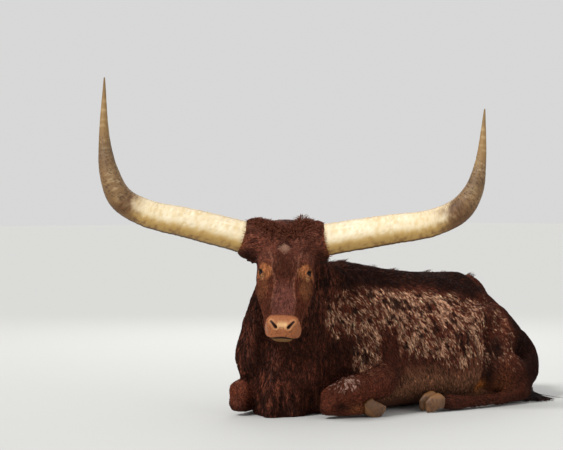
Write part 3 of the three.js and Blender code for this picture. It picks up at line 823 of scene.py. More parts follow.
def fromLids(along, across, up):
    across = across - lidLook["drop"]
    x = math.cos(lidTilt) * along + math.sin(lidTilt) * across
    return up * x, math.cos(lidTilt) * across - math.sin(lidTilt) * along


def almond(x, y, up):
    along, across = alongLids(x, y, up)
    return np.abs(across) - lidLook["high"] * (1 - (along / lidLook["half"]) ** 2)


# Points in an eye's own frame, their distance from its middle, and how far they are outside the lids.
def eyeView(h, side):
    axes, centre, up = eyeAxes(side)
    q = (h - centre) @ axes
    far = np.linalg.norm(q, axis=1)
    scale = pose["eyeRadius"] / np.maximum(far, 1)
    return q, far, almond(q[:, 0] * scale, q[:, 1] * scale, up)


# Lays the lids over the eyeballs and opens them.
def liddedSkin(h):
    radius, soft = pose["eyeRadius"], lidLook["soft"]
    for side in pose["eyePlaces"]:
        axes, centre, up = eyeAxes(side)
        q, far, gap = eyeView(h, side)
        near = (far < 60) & (q[:, 2] > -8)
        q, far, gap = q[near], far[near], gap[near]
        upper = smoothstep(-4, 6, alongLids(q[:, 0], q[:, 1], up)[1])
        lid = radius + lidLook["thick"] + 1.6 * upper + 1.6 * bump(gap - 2.5, 2.6)
        lid -= 1.2 * bump(gap - 8 - 2 * upper, 2.2)
        lid += 0.9 * upper * bump(gap - 12.5, 2.2) - 0.5 * (1 - upper) * bump(gap - 13, 3)
        share = np.clip(0.5 + 0.5 * (lid - far) / soft, 0, 1)
        wide = far + (lid - far) * share + soft * share * (1 - share) * 0.5
        fade = smoothstep(58, 34, far) * smoothstep(-8, 2, q[:, 2])
        reach = far + (wide - far) * fade
        opened = smoothstep(0.9, -1.1, gap)
        reach = mixed(reach, radius - lidLook["behind"], opened)
        h[near] = centre + (q * (reach / far)[:, None]) @ axes.T
    return h


# Where the skin wrinkles in arcs, and how the folds run across the neck.
foldLook = {"groin": (330, 640, 110), "elbow": (300, -20, 190), "across": (0.643, 0.766)}


def wrinkleArcs(p, middle):
    return np.linalg.norm((p - np.array(middle)) * np.array((0.4, 1, 1)), axis=1)


# How far the body's skin is pushed out.
def bodyPushes(p, part):
    x, y, z = p.T
    neck = part["neck"]
    cosine, sine = foldLook["across"]
    across = p @ np.array((cosine, sine, 0))
    toward = p @ np.array((sine, -cosine, 0))
    folds = cloud(np.column_stack([across / 34, toward / 60, z / 260 + across / 300]), 7)
    ridged = 1 - 2 * np.abs(folds)
    push = neck * (5.5 * ridged - 2) * (1 - smoothstep(560, 700, z)) * smoothstep(40, 110, z)
    ribs = np.cos(2 * math.pi * (y + 0.28 * z) / 64) * smoothstep(10, 90, y) * (1 - smoothstep(430, 560, y))
    push += part["torso"] * 1.7 * ribs * bump(z - 380, 170)
    push += 2.6 * cloud(p / 70, 3) * (1 - part["head"])
    push -= 16 * np.minimum(part["foreleg"], part["torso"] + neck)
    push -= 14 * np.minimum(part["hindleg"], part["torso"]) * smoothstep(380, 250, z)
    arcs = wrinkleArcs(p, foldLook["groin"])
    waves = part["hindleg"] * 2.4 * np.cos(2 * math.pi * arcs / 19)
    push += waves * smoothstep(60, 90, arcs) * (1 - smoothstep(170, 220, arcs)) * (x > 0)
    behind = wrinkleArcs(onLeft(p), foldLook["elbow"])
    push += 2.2 * np.cos(2 * math.pi * behind / 24) * bump(behind - 120, 45) * part["torso"]
    return push + 1.2 * ((part["foreleg"] + part["hindleg"]) * cloud(p / 22, 9))


def sculptedSkin(mesh):
    points, edges = meshArrays(mesh)
    part, _ = belonging(points)
    head = part["head"]
    points = relaxed(points, edges, 0.5 * head, 4)
    movePoints(mesh, points)
    normals = pointNormals(mesh)
    points = points + normals * bodyPushes(points, part)[:, None]
    h = moved(points, headInverse)
    hn = turnedBy(normals, headInverse)
    push, hole = facePushes(h)
    h = h + hn * (push * smoothstep(0.3, 0.8, head))[:, None]
    inward = np.column_stack([-0.35 * np.sign(h[:, 0]), np.full(len(h), 0.8), np.full(len(h), -0.5)])
    h = h + inward * (faceLook["nostrilDepth"] * hole)[:, None]
    h = liddedSkin(h)
    points = moved(h, headMatrix)
    points[:, 2] = np.maximum(points[:, 2], 1.0)
    movePoints(mesh, points)
    return hole


skinHole = sculptedSkin(skin)
print("sculpted")


# the colours of the coat, in the display's own values
tones = {
    "deep": (30, 13, 8),
    "dark": (54, 25, 16),
    "mahogany": (88, 44, 31),
    "red": (108, 56, 38),
    "fleck": (208, 166, 134),
    "speckle": (202, 166, 150),
    # painted light: the paler brown of the lower belly stands for light thrown up from the ground
    "belly": (132, 92, 68),
    "neckRed": (108, 58, 41),
    "shank": (140, 84, 48),
    "streak": (116, 70, 52),
    "forehead": (102, 57, 44),
    # painted sheen: the pinkish purple on the bridge of the nose
    "bridge": (112, 66, 56),
    "cheek": (88, 44, 29),
    # painted highlight: the pale pink along the ridges of the nose and the arcs over the eyes, also laid on
    # the crown's curls
    "ridge": (160, 112, 92),
    "tan": (168, 108, 68),
    "tanBelow": (120, 76, 48),
    "whorl": (160, 126, 106),
    "edge": (144, 84, 54),
    "pad": (150, 92, 58),
    # the pale pad tone, also laid as a painted highlight just below each eye
    "padPale": (206, 162, 114),
    "lip": (124, 88, 44),
    # the dark wet rims of the lids, and painted shade in the line of the mouth and in the nostrils
    "moistAndShade": (34, 20, 16),
    "groin": (204, 124, 58),
    # painted shade: the dark of the ears, below the horns
    "ear": (44, 26, 20),
}


def tone(name):
    return np.array(tones[name], float) / 255


def toLinear(c):
    c = np.clip(c, 0, 1)
    return np.where(c < 0.04045, c / 12.92, ((c + 0.055) / 1.055) ** 2.4)


# Lays a tone over colours, as strongly as its weight says.
def over(colours, name, weight):
    return colours + (tone(name) - colours) * np.clip(weight, 0, 1)[:, None]


# Coordinates that run along and across the lie of the flank.
def grained(p):
    return np.column_stack([0.25 * p[:, 1] - 0.97 * p[:, 2], p[:, 0], 0.97 * p[:, 1] + 0.25 * p[:, 2]])


# How much of the nose pad and of the lower lip is bare at each point.
def bareMask(h, part):
    line = lipLine(h)
    rim = padRim(h)
    pad = smoothstep(5, -5, rim) * smoothstep(line - 4, line + 1, h[:, 2]) * smoothstep(-112, -100, h[:, 2])
    lip = smoothstep(line + 1, line - 2, h[:, 2]) * smoothstep(line - 62, line - 44, h[:, 2])
    lip *= smoothstep(-478, -500, h[:, 1]) * smoothstep(62, 48, np.abs(h[:, 0]))
    near = smoothstep(0.4, 0.7, part["head"])
    return pad * near, lip * near


# How low and how high the pale flecks reach at each distance from the withers.
fleckEdges = {
    "at": (-300, -170, -135, -105, 10, 36, 130, 170, 420, 620),
    "low": (425, 365, 345, 165, 165, 395, 385, 270, 235, 180),
    "top": (570, 600, 602, 604, 606, 608, 606, 604, 562, 538),
}
# Lines in the coat, as places on the left side. The right side has them too, but for the arch.
coatPlaces = {
    "flankLine": [(191, 158, 575), (245, 159, 471), (278, 147, 358), (294, 138, 255), (320, 114, 172)],
    # painted highlight: the lit band down the thigh
    "thighHighlight": [(270, 880, 440), (295, 869, 413), (331, 830, 366), (370, 790, 260), (383, 772, 200)],
    "armArch": [(180, -205, 190), (200, -170, 216), (215, -135, 222), (232, -100, 205)],
}


def markings(p, h, part):
    x, y, z = p.T
    mirrored = onLeft(p)
    g = grained(p)
    broad = cloud(p / 170, 21)
    streaks = cloud(g / np.array((34, 7, 7)), 22)
    fine = cloud(g / np.array((14, 3.2, 3.2)), 23)
    c = np.zeros((len(p), 3)) + tone("mahogany")
    c = over(c, "dark", 0.5 - 0.5 * broad)
    c = over(c, "streak", 0.3 * smoothstep(0.15, 0.7, streaks + 0.4 * fine))
    torso, neck = part["torso"], part["neck"]
    upperArm = part["foreleg"] * np.maximum(smoothstep(0, 70, y), bump(y + 105, 45))
    body = torso + neck * smoothstep(-310, -250, y) + upperArm + part["hindleg"]
    # neck: long streaks on a dark ground, with painted shade down the front of the neck and in the hollow of
    # the throat
    strands = cloud(np.column_stack([x / 7, y / 7, z / 90]), 29)
    front = smoothstep(-60, -260, y)
    # painted shade down the front of the neck, under the head
    c = over(c, "dark", 0.35 * neck * front)
    c = over(c, "deep", 0.9 * neck * bell(p, (185, -335, 630), (120, 90, 110)))
    strandsFine = cloud(np.column_stack([x / 3.4, y / 3.4, z / 55]), 42)
    c = over(c, "neckRed", 0.8 * neck * front * smoothstep(0.0, 0.6, strands + 0.5 * strandsFine))
    paleStrands = smoothstep(0.4, 0.9, strands + 0.6 * strandsFine)
    c = over(c, "streak", 0.45 * neck * front * paleStrands * smoothstep(700, 500, z))
    c = over(c, "deep", 0.6 * neck * front * smoothstep(0.15, 0.6, -strands - 0.3 * strandsFine))
    # painted shadow in the hollow of the throat under the head
    c = over(c, "deep", 0.75 * neck * bell(p, (20, -440, 420), (90, 120, 170)))
    chest = neck * front + torso * smoothstep(0, -200, y)
    c = over(c, "deep", 0.45 * chest * smoothstep(480, 300, z) * smoothstep(0.5, -0.2, strands))
    # the field of pale flecks
    high = z + 22 * cloud(p / 80, 24)
    backLow = 60 * smoothstep(300, 620, y)
    low = np.interp(y, fleckEdges["at"], fleckEdges["low"])
    top = np.interp(y, fleckEdges["at"], fleckEdges["top"])
    dense = smoothstep(low - 50, low + 45, high) * (1 - smoothstep(top - 25, top + 25, high))
    dense *= (0.9 + 0.1 * smoothstep(-100, 150, y)) * smoothstep(-325, -262, y)
    dense *= (1 - 0.5 * smoothstep(640, 740, y)) * (1 - 0.95 * smoothstep(860, 930, y))
    dense *= 1 - 0.9 * bell(mirrored, (206, -168, 352), (70, 36, 34))
    dense = np.maximum(dense, 0.66 * bell(mirrored, (300, 790, 425), (130, 105, 100)))
    dense = np.maximum(dense, 0.8 * bell(mirrored, (325, -118, 190), (50, 32, 50)))
    pattern = 0.5 * cloud(g / np.array((10, 4.2, 4.2)), 25) + 0.42 * cloud(g / np.array((6, 2.4, 2.4)), 26)
    pattern += 0.34 * cloud(g / np.array((26, 12, 12)), 41) + 0.2 * cloud(p / 70, 27)
    threshold = 0.46 - 0.58 * dense
    flecks = smoothstep(threshold, threshold + 0.4, pattern) * smoothstep(0.04, 0.4, dense)
    flecks *= np.clip(body, 0, 1)
    c = over(c, "mahogany", 0.7 * dense * body)
    c = over(c, "fleck", 0.85 * flecks)
    gap, _ = alongPath(mirrored, coatPlaces["flankLine"])
    c = over(c, "fleck", 0.75 * bump(gap + 3 * cloud(p / 20, 63), 7) * (0.8 + 0.4 * fine) * torso)
    blots = smoothstep(0.28, 0.46, cloud(g / np.array((30, 17, 17)), 28)) * dense
    c = over(c, "deep", 0.8 * blots * body)
    # the dark back, the belly, the tail and the thighs, with painted light on the belly and down the thigh,
    # and painted shade near the ground, in the folds and in the grooves of the wrinkles
    spine = smoothstep(585 - backLow, 625 - backLow, high + 18 * streaks)
    spine *= torso + neck * smoothstep(-250, -150, y)
    c = over(c, "deep", 0.9 * spine * (1 - 0.55 * smoothstep(0.1, 0.6, streaks)))
    # painted light on the lower belly, as if lit from the ground below
    c = over(c, "belly", 0.85 * smoothstep(260, 150, high) * smoothstep(-150, 20, y) * torso * (1 - flecks))
    # painted shade low on the body, next to the ground
    c = over(c, "dark", 0.5 * smoothstep(90, 30, z) * torso)
    c = over(c, "dark", 0.6 * smoothstep(900, 960, y))
    c = over(c, "red", 0.55 * part["tail"] * smoothstep(1100, 950, y))
    c = over(c, "dark", 0.45 * part["hindleg"] * (1 - 0.9 * flecks))
    # painted highlight: a lit reddish band down the thigh
    gap, _ = alongPath(mirrored, coatPlaces["thighHighlight"])
    c = over(c, "red", 0.6 * bump(gap, 40) * (0.75 + 0.4 * streaks) * (1 - flecks))
    # painted shadow in the fold where the flank overlaps the front of the thigh
    c = over(c, "deep", 0.85 * bell(mirrored, (348, 738, 286), (70, 44, 46)))
    c = over(c, "deep", 0.75 * (part["hindleg"] + torso) * smoothstep(870, 930, y) * smoothstep(470, 400, z))
    c = over(c, "shank", 0.5 * part["hindleg"] * bell(mirrored, (365, 745, 110), (70, 85, 60)))
    # painted shadow in the gap between the thigh and the belly
    c = over(c, "deep", 0.85 * bell(mirrored, (352, 678, 150), (60, 26, 60)))
    arcs = wrinkleArcs(p, foldLook["groin"])
    grooves = smoothstep(0.2, 0.9, -np.cos(2 * math.pi * arcs / 19))
    # painted shade in the grooves between the wrinkles at the groin
    c = over(c, "deep", 0.5 * part["hindleg"] * grooves * bump(arcs - 120, 48))
    c = over(c, "groin", 0.95 * bell(p, (338, 642, 100), (50, 28, 28)))
    # forelegs
    legs = part["foreleg"]
    c = over(c, "mahogany", 0.7 * legs * smoothstep(60, -40, y))
    c = over(c, "red", 0.55 * legs * smoothstep(0, -100, y) * smoothstep(-0.4, 0.4, broad + fine))
    speckle = smoothstep(0.1, 0.36, cloud(p / 7.5, 30))
    speckle *= smoothstep(0.2, 0.66, bell(mirrored, (288, -224, 178), (100, 80, 50)))
    c = over(c, "speckle", 0.85 * speckle)
    c = over(c, "dark", 0.5 * legs * smoothstep(80, 40, z))
    c = over(c, "shank", 0.7 * legs * bell(mirrored, (290, -150, 40), (60, 55, 26)))
    c = over(c, "deep", 0.85 * legs * bell(mirrored, (292, -236, 64), (70, 30, 15)))
    gap, _ = alongPath(mirrored, coatPlaces["armArch"])
    c = over(c, "deep", 0.85 * bump(gap, 15) * (x > 0))
    return faceMarkings(c, p, h, part)


def faceMarkings(c, p, h, part):
    x, y, z = h.T
    side = np.abs(x)
    mirrored = onLeft(h)
    head = np.clip(part["head"] + part["sleeve"], 0, 1)
    front = smoothstep(-75, -35, z)
    face = np.zeros_like(c) + tone("cheek")
    hairs = cloud(h / np.array((2.4, 15, 4)), 31)
    patches = cloud(h / 34, 32)
    # the forehead, the bridge of the nose with its ridges, and the arcs over the eyes, with a painted sheen
    # on the bridge and painted highlights along the ridges and the arcs
    face = over(face, "forehead", smoothstep(-230, -160, y) * front)
    face = over(face, "dark", 0.28 * smoothstep(0, 0.7, patches))
    ridgeAt = ridgeLine(y)
    inside = smoothstep(ridgeAt + 2, ridgeAt - 6, side) * front * smoothstep(-120, -170, y)
    # painted sheen on the bridge of the nose
    face = over(face, "bridge", inside * smoothstep(-250, -330, y))
    face = over(face, "dark", 0.4 * inside * bump(y + 240, 70))
    lines = bump(side - ridgeAt, 4.5) * front * smoothstep(-125, -175, y) * (1 - smoothstep(-380, -450, y))
    # painted highlights along the ridges at each side of the nose
    face = over(face, "ridge", 0.7 * lines * (0.75 + 0.4 * hairs))
    arc, upper = browArcs(side, y)
    for ringAt, _ in browRings:
        # painted highlights on the arcs over the eyes
        face = over(face, "ridge", 0.26 * bump(arc - ringAt, 4) * front * upper)
    face = over(face, "dark", 0.5 * smoothstep(0.1, 0.7, -hairs))
    face = over(face, "streak", 0.5 * smoothstep(0.1, 0.7, hairs))
    # painted shade on the underside of the head, towards the throat
    face = over(face, "deep", 0.8 * smoothstep(-120, -200, z))
    face = over(face, "dark", 0.5 * smoothstep(-70, -150, z) * smoothstep(-400, -300, y))
    # the pale ring round each eye, and the paler hair below it
    ragged = 0.09 * cloud(h / 7, 45)
    ring = np.sqrt(((side - 92) / 34) ** 2 + ((y + 233 - 0.25 * (side - 88)) / 31) ** 2) + ragged
    below = np.sqrt(((side - 96) / 30) ** 2 + ((y + 300) / 62) ** 2) + 2 * ragged
    belowShare = (0.75 + 0.15 * np.sign(x)) * smoothstep(1.2, 0.5, below)
    face = over(face, "tanBelow", belowShare * (0.8 + 0.3 * hairs))
    face = over(face, "tan", smoothstep(1.18, 0.86, ring) * (0.85 + 0.15 * hairs))
    fold = 0.4 * bump(y + 262 + 0.2 * (side - 93), 4)
    face = over(face, "cheek", fold * smoothstep(28, 12, np.abs(side - 90)))
    # painted highlight: a pale spot just below each eye
    face = over(face, "padPale", 0.75 * bump(y + 256, 4) * bump(side - 103, 9) * smoothstep(-90, -70, z))
    # the whorl, the curls of the crown and the sleeves of the horns, with painted shadow under the sleeves
    whorl = np.abs(x + 6) / 27 + np.abs(y + 133) / 24 + 0.2 * cloud(h / 6, 33)
    face = over(face, "whorl", 0.8 * smoothstep(1.05, 0.85, whorl) * front)
    face = over(face, "deep", 0.7 * bump(whorl - 1.32, 0.24) * front * smoothstep(-132, -122, y))
    crown = smoothstep(-150, -60, y)
    curls = cloud(h / 9, 64) + 0.5 * cloud(h / 4.5, 65)
    face = over(face, "deep", 0.6 * crown * smoothstep(0.1, 0.7, curls))
    face = over(face, "ridge", 0.34 * crown * smoothstep(0.15, 0.8, -curls))
    face = over(face, "dark", 0.2 * smoothstep(-50, 10, y))
    face = over(face, "dark", 0.5 * bell(h, (-4, -185, 0), (34, 60, 60)))
    q = moved(p, hornInverse)
    outer = smoothstep(148, 176, np.abs(q[:, 0]) + 6 * cloud(p / 14, 34))
    face = over(face, "edge", 0.5 * outer * part["sleeve"])
    # painted shadow under the horns, on the underside of their sleeves
    face = over(face, "deep", 0.75 * part["sleeve"] * smoothstep(-100, -150, q[:, 2]))
    # the nose pad, the lips, the nostrils and the rims of the lids, with painted shade in the line of the
    # mouth, in the nostrils and round the opening of the lids
    pad, lip = bareMask(h, part)
    freckles = smoothstep(0.45, 0.7, cloud(h / 3.2, 35))
    gap, share = alongPath(mirrored, nostrilPath)
    padColour = np.zeros_like(c) + tone("pad")
    stains = smoothstep(0.0, 0.6, cloud(h / 6, 47) + 0.5 * cloud(h / 2.6, 48))
    padColour = over(padColour, "mahogany", 0.26 * stains)
    between = bump(y + 503, 15) * smoothstep(30, 16, side)
    padColour = over(padColour, "padPale", between * smoothstep(-62, -44, z))
    padColour = over(padColour, "padPale", 0.35 * bump(gap - 11, 5) * smoothstep(-70, -50, z))
    padColour = over(padColour, "dark", 0.6 * freckles * smoothstep(-498, -516, y))
    padColour = over(padColour, "cheek", 0.35 * smoothstep(-470, -452, y))
    face = face + (padColour - face) * pad[:, None]
    face = over(face, "lip", 0.9 * lip)
    # painted shade in the line of the mouth
    face = over(face, "moistAndShade", bump(z - lipLine(h) + 1.5, 5.2) * smoothstep(-455, -480, y))
    # painted shade in the nostrils
    face = over(face, "moistAndShade", smoothstep(8.5, 5.5, gap + 3 * (1 - share)))
    for eyeSide in pose["eyePlaces"]:
        q, far, rim = eyeView(h, eyeSide)
        near = (far < 34) & (q[:, 2] > 0)
        face = over(face, "moistAndShade", near * smoothstep(2.4, 0.9, rim))
        # painted shade round the opening of the lids
        face = over(face, "dark", 0.35 * near * smoothstep(5, 2, rim))
    c = c + (face - c) * head[:, None]
    # painted shade over the ears, below the horns
    return over(c, "ear", 0.85 * part["ear"])


# The way the hair lies at each point.
def hairWay(p, n, h, part, way):
    top = smoothstep(0.6, 0.95, n[:, 2])[:, None] * (1 - 0.8 * smoothstep(600, 700, p[:, 1:2]))
    flow = mixed(np.array((0, 0.33, -0.94)), np.array((0, 1, 0)), top) * part["torso"][:, None]
    flow += part["neck"][:, None] * np.array((-0.12, 0.3, -0.95))
    upperLeg = smoothstep(70, 200, p[:, 2])[:, None]
    legFlow = mixed(way, np.array((0, 0.4, -0.9)), upperLeg)
    flow += (part["foreleg"] + part["hindleg"])[:, None] * legFlow
    flow += part["tail"][:, None] * way * 1.5
    flow += part["ear"][:, None] * way * 1.2
    down = np.column_stack([0 * h[:, 0], np.full(len(h), -1.0), -0.6 * smoothstep(-60, -130, h[:, 2])])
    fromWhorl = unit(h - np.array((-6, -135, 0)))
    fromWhorl[:, 2] *= 0.3
    upper = smoothstep(-190, -130, h[:, 1])[:, None]
    faceFlow = turnedBy(mixed(down, fromWhorl, upper), headMatrix)
    flow += part["head"][:, None] * faceFlow * 1.4
    q = moved(p, hornInverse)
    outward = np.column_stack([np.sign(q[:, 0]), 0 * q[:, 0], 0.25 * smoothstep(-60, 0, q[:, 2])])
    flow += part["sleeve"][:, None] * turnedBy(outward, hornMatrix) * 1.4
    wave = np.column_stack([cloud(p / 60, 40 + k) for k in range(3)])
    curl = np.column_stack([cloud(h / 17, 66 + k) for k in range(3)])
    crown = (part["head"] + part["sleeve"]) * smoothstep(-170, -110, h[:, 1])
    flow = unit(flow) + 0.28 * wave + 0.75 * crown[:, None] * curl
    flow -= n * (flow * n).sum(1)[:, None]
    return unit(flow)


points, _ = meshArrays(skin)
skinPart, _ = belonging(points)
skinHead = moved(points, headInverse)
skinColour = markings(points, skinHead, skinPart)
# painted shade inside the nostrils, where the skin is pushed in
skinColour = toLinear(over(skinColour, "moistAndShade", skinHole * (skinPart["head"] > 0.5)))
skinPad, skinLip = bareMask(skinHead, skinPart)
print("coloured")


# the coat, as tufts that lie along the skin
coatLook = {
    "pieces": 7,
    "tuftsPerPiece": 19500,
    "bodyLength": (15, 28),
    "bodyWidth": 4.5,
    "headLength": (9, 15),
    "headWidth": 2.3,
    "wander": 0.22,
}


# Random roots for tufts all over the skin, with their normals, their places in the flat map, how fine
# the hair is and how much a root is on a leg or the tail.
def spread(mesh, count):
    mesh.calc_loop_triangles()
    size = len(mesh.loop_triangles)
    corners = np.zeros(size * 3, np.int32)
    mesh.loop_triangles.foreach_get("vertices", corners)
    loops = np.zeros(size * 3, np.int32)
    mesh.loop_triangles.foreach_get("loops", loops)
    corners, loops = corners.reshape(-1, 3), loops.reshape(-1, 3)
    flat = np.zeros(len(mesh.loops) * 2, np.float32)
    mesh.uv_layers["OFBake"].data.foreach_get("uv", flat)
    flat = flat.reshape(-1, 2)
    p, normals = points[corners], pointNormals(mesh)[corners]
    cross = np.cross(p[:, 1] - p[:, 0], p[:, 2] - p[:, 0])
    area = np.linalg.norm(cross, axis=1) / 2
    head = skinPart["head"][corners].mean(1)
    fine = np.clip(head + 0.7 * skinPart["sleeve"][corners].mean(1) + skinPart["ear"][corners].mean(1), 0, 1)
    legs = (skinPart["foreleg"] + skinPart["hindleg"] + skinPart["tail"])[corners].mean(1)
    weight = 1 + 4.2 * fine + 0.5 * legs
    middle = p.mean(1)
    bare = (skinPad + skinLip)[corners].max(1)
    under = smoothstep(0.2, 0.8, -cross[:, 2] / np.maximum(2 * area, 1e-6)) * smoothstep(90, 50, middle[:, 2])
    weight *= smoothstep(0.3, 0.05, bare) * (1 - under) * (middle[:, 2] > 4)
    hm = moved(middle, headInverse)
    for side in pose["eyePlaces"]:
        q, far, rim = eyeView(hm, side)
        weight[(far < 40) & (q[:, 2] > 0) & (rim < 3.0)] = 0
    gap, _ = alongPath(onLeft(hm), nostrilPath)
    weight[(gap < 14) & (head > 0.5)] = 0
    chance = np.cumsum(area * weight)
    pick = np.searchsorted(chance, rng.random(count) * chance[-1])
    r1, r2 = np.sqrt(rng.random(count)), rng.random(count)
    bary = np.stack([1 - r1, r1 * (1 - r2), r1 * r2], 1)[..., None]
    root = (p[pick] * bary).sum(1)
    normal = unit((normals[pick] * bary).sum(1))
    return root, normal, (flat[loops[pick]] * bary).sum(1), fine[pick], legs[pick]


skinTree = BVHTree.FromPolygons(points.tolist(), [tuple(f.vertices) for f in skin.polygons])


# The nearest places on the skin, with their normals.
def laidOn(at):
    found = [skinTree.find_nearest(Vector(p)) for p in at]
    return np.array([f[0] for f in found]), np.array([f[1] for f in found])


def coatPieces():
    count = coatLook["pieces"] * coatLook["tuftsPerPiece"]
    root, normal, flat, fine, legs = spread(skin, count)
    part, way = belonging(root)
    h = moved(root, headInverse)
    flow = hairWay(root, normal, h, part, way)
    turn = rng.normal(0, coatLook["wander"], count)[:, None]
    flow = unit(flow + turn * np.cross(normal, flow))
    pick = rng.random(count)
    low, high = coatLook["bodyLength"]
    length = (low + (high - low) * pick) * (1 - 0.35 * legs)
    headLow, headHigh = coatLook["headLength"]
    crown = smoothstep(-110, -20, h[:, 1]) * part["head"] + 0.9 * part["sleeve"]
    headLong = (headLow + (headHigh - headLow) * pick) * (1 + 1.1 * crown)
    length = length + (headLong - length) * fine
    bodyWide, headWide = coatLook["bodyWidth"], coatLook["headWidth"] * (1 + 0.25 * crown)
    width = (bodyWide + (headWide - bodyWide) * fine) * rng.uniform(0.7, 1.25, count)
    lift = (2.0 + 2.6 * rng.random(count) ** 2) * (1 - 0.62 * fine) * (1 - 0.3 * legs)
    lift += 3.2 * crown * rng.random(count)
    crest = part["neck"] * smoothstep(0.3, 0.8, normal[:, 2])
    shaggy = 7 * crest * rng.random(count) ** 2
    shaggy += 2.5 * part["torso"] * smoothstep(0.7, 0.95, normal[:, 2]) * rng.random(count) ** 3
    lift += shaggy
    brow = moved(root, hornInverse)
    edge = (part["head"] + part["sleeve"]) * smoothstep(-45, -12, brow[:, 2])
    length *= 1 + 0.5 * edge
    lift += 8 * edge * rng.random(count)
    # each tuft has a base of three corners, a middle of three and a tip
    midPlace, midNormal = laidOn(root + flow * (length * 0.5)[:, None])
    onward = unit(midPlace - root + 1e-4)
    tipPlace, tipNormal = laidOn(midPlace + onward * (length * 0.5)[:, None])
    colours = markings(root, h, part)
    lie = grained(root)
    clump = 0.16 * cloud(lie / np.array((26, 9, 9)), 43) + 0.1 * cloud(lie / np.array((60, 24, 24)), 44)
    shade = rng.normal(1, 0.22, count) + clump
    colours = toLinear(colours * np.clip(shade, 0.35, 1.8)[:, None])
    mid = midPlace + midNormal * (lift * 0.62)[:, None]
    tip = tipPlace + tipNormal * lift[:, None]
    side = unit(np.cross(normal, flow))
    half = (width / 2)[:, None]
    thick = (width * 0.42)[:, None]
    base = root - normal * 1.6
    rings = np.stack([
        base + side * half * 0.8, base - side * half * 0.8, base + normal * thick,
        mid + side * half, mid - side * half, mid + midNormal * thick,
        tip,
    ], 1)
    rings[..., 2] = np.maximum(rings[..., 2], 0.6)
    faces = np.array([
        (0, 3, 1), (1, 3, 4), (1, 4, 2), (2, 4, 5), (2, 5, 0), (0, 5, 3),
        (3, 6, 4), (4, 6, 5), (5, 6, 3), (0, 1, 2),
    ])[:, ::-1]
    patch = np.array([(0, 0), (0, 1), (0, 0.5), (0.5, 0), (0.5, 1), (0.5, 0.5), (1, 0.5)]) * 0.003 - 0.0015
    tipShade = np.array([0.5, 0.5, 0.62, 0.9, 0.9, 1.0, 1.4])
    order = rng.permutation(count)
    made = []
    for i in range(coatLook["pieces"]):
        take = order[i :: coatLook["pieces"]]
        n = len(take)
        tris = (faces[None] + np.arange(n)[:, None, None] * 7).reshape(-1, 3)
        piece = solidObject(f"coat_{i + 1}", rings[take].reshape(-1, 3), np.zeros((0, 4), int), tris)
        setColours(piece, "tone", (colours[take][:, None] * tipShade[None, :, None]).reshape(-1, 3))
        flatAll = flat[take][:, None] + patch[None]
        layer = piece.data.uv_layers.new(name="OFBake")
        layer.data.foreach_set("uv", flatAll.reshape(-1, 2)[tris.ravel()].astype(np.float32).ravel())
        made.append(piece)
    return made


coat = coatPieces()
print("coat", sum(len(piece.data.polygons) for piece in coat))


# horns with their rings
hornLook = {
    "steps": 220,
    "sides": 48,
    "shares": (1, 1, 0.94, 0.85, 0.79, 0.61, 0.35, 0.055),
    "blot": {"right": (0.53, 0.055), "left": (0.55, 0.08)},
    "darkBand": {"right": 0.80, "left": 0.76},
}
hornTones = {
    "cream": (224, 206, 170),
    "bright": (246, 238, 216),
    "gold": (184, 146, 80),
    "brown": (116, 78, 42),
    "patch": (84, 52, 26),
    # painted shade along the underside of the horns
    "under": (66, 44, 26),
    "bend": (116, 86, 53),
    "grey": (146, 122, 88),
    "speck": (66, 46, 28),
    "tip": (100, 78, 46),
}
tones.update(hornTones)


# Smooth random values that follow the horn: along and around say how fine they are each way.
def banded(t, angle, along, around, seed):
    return cloud(np.column_stack([t * along, np.cos(angle) * around, np.sin(angle) * around]), seed)


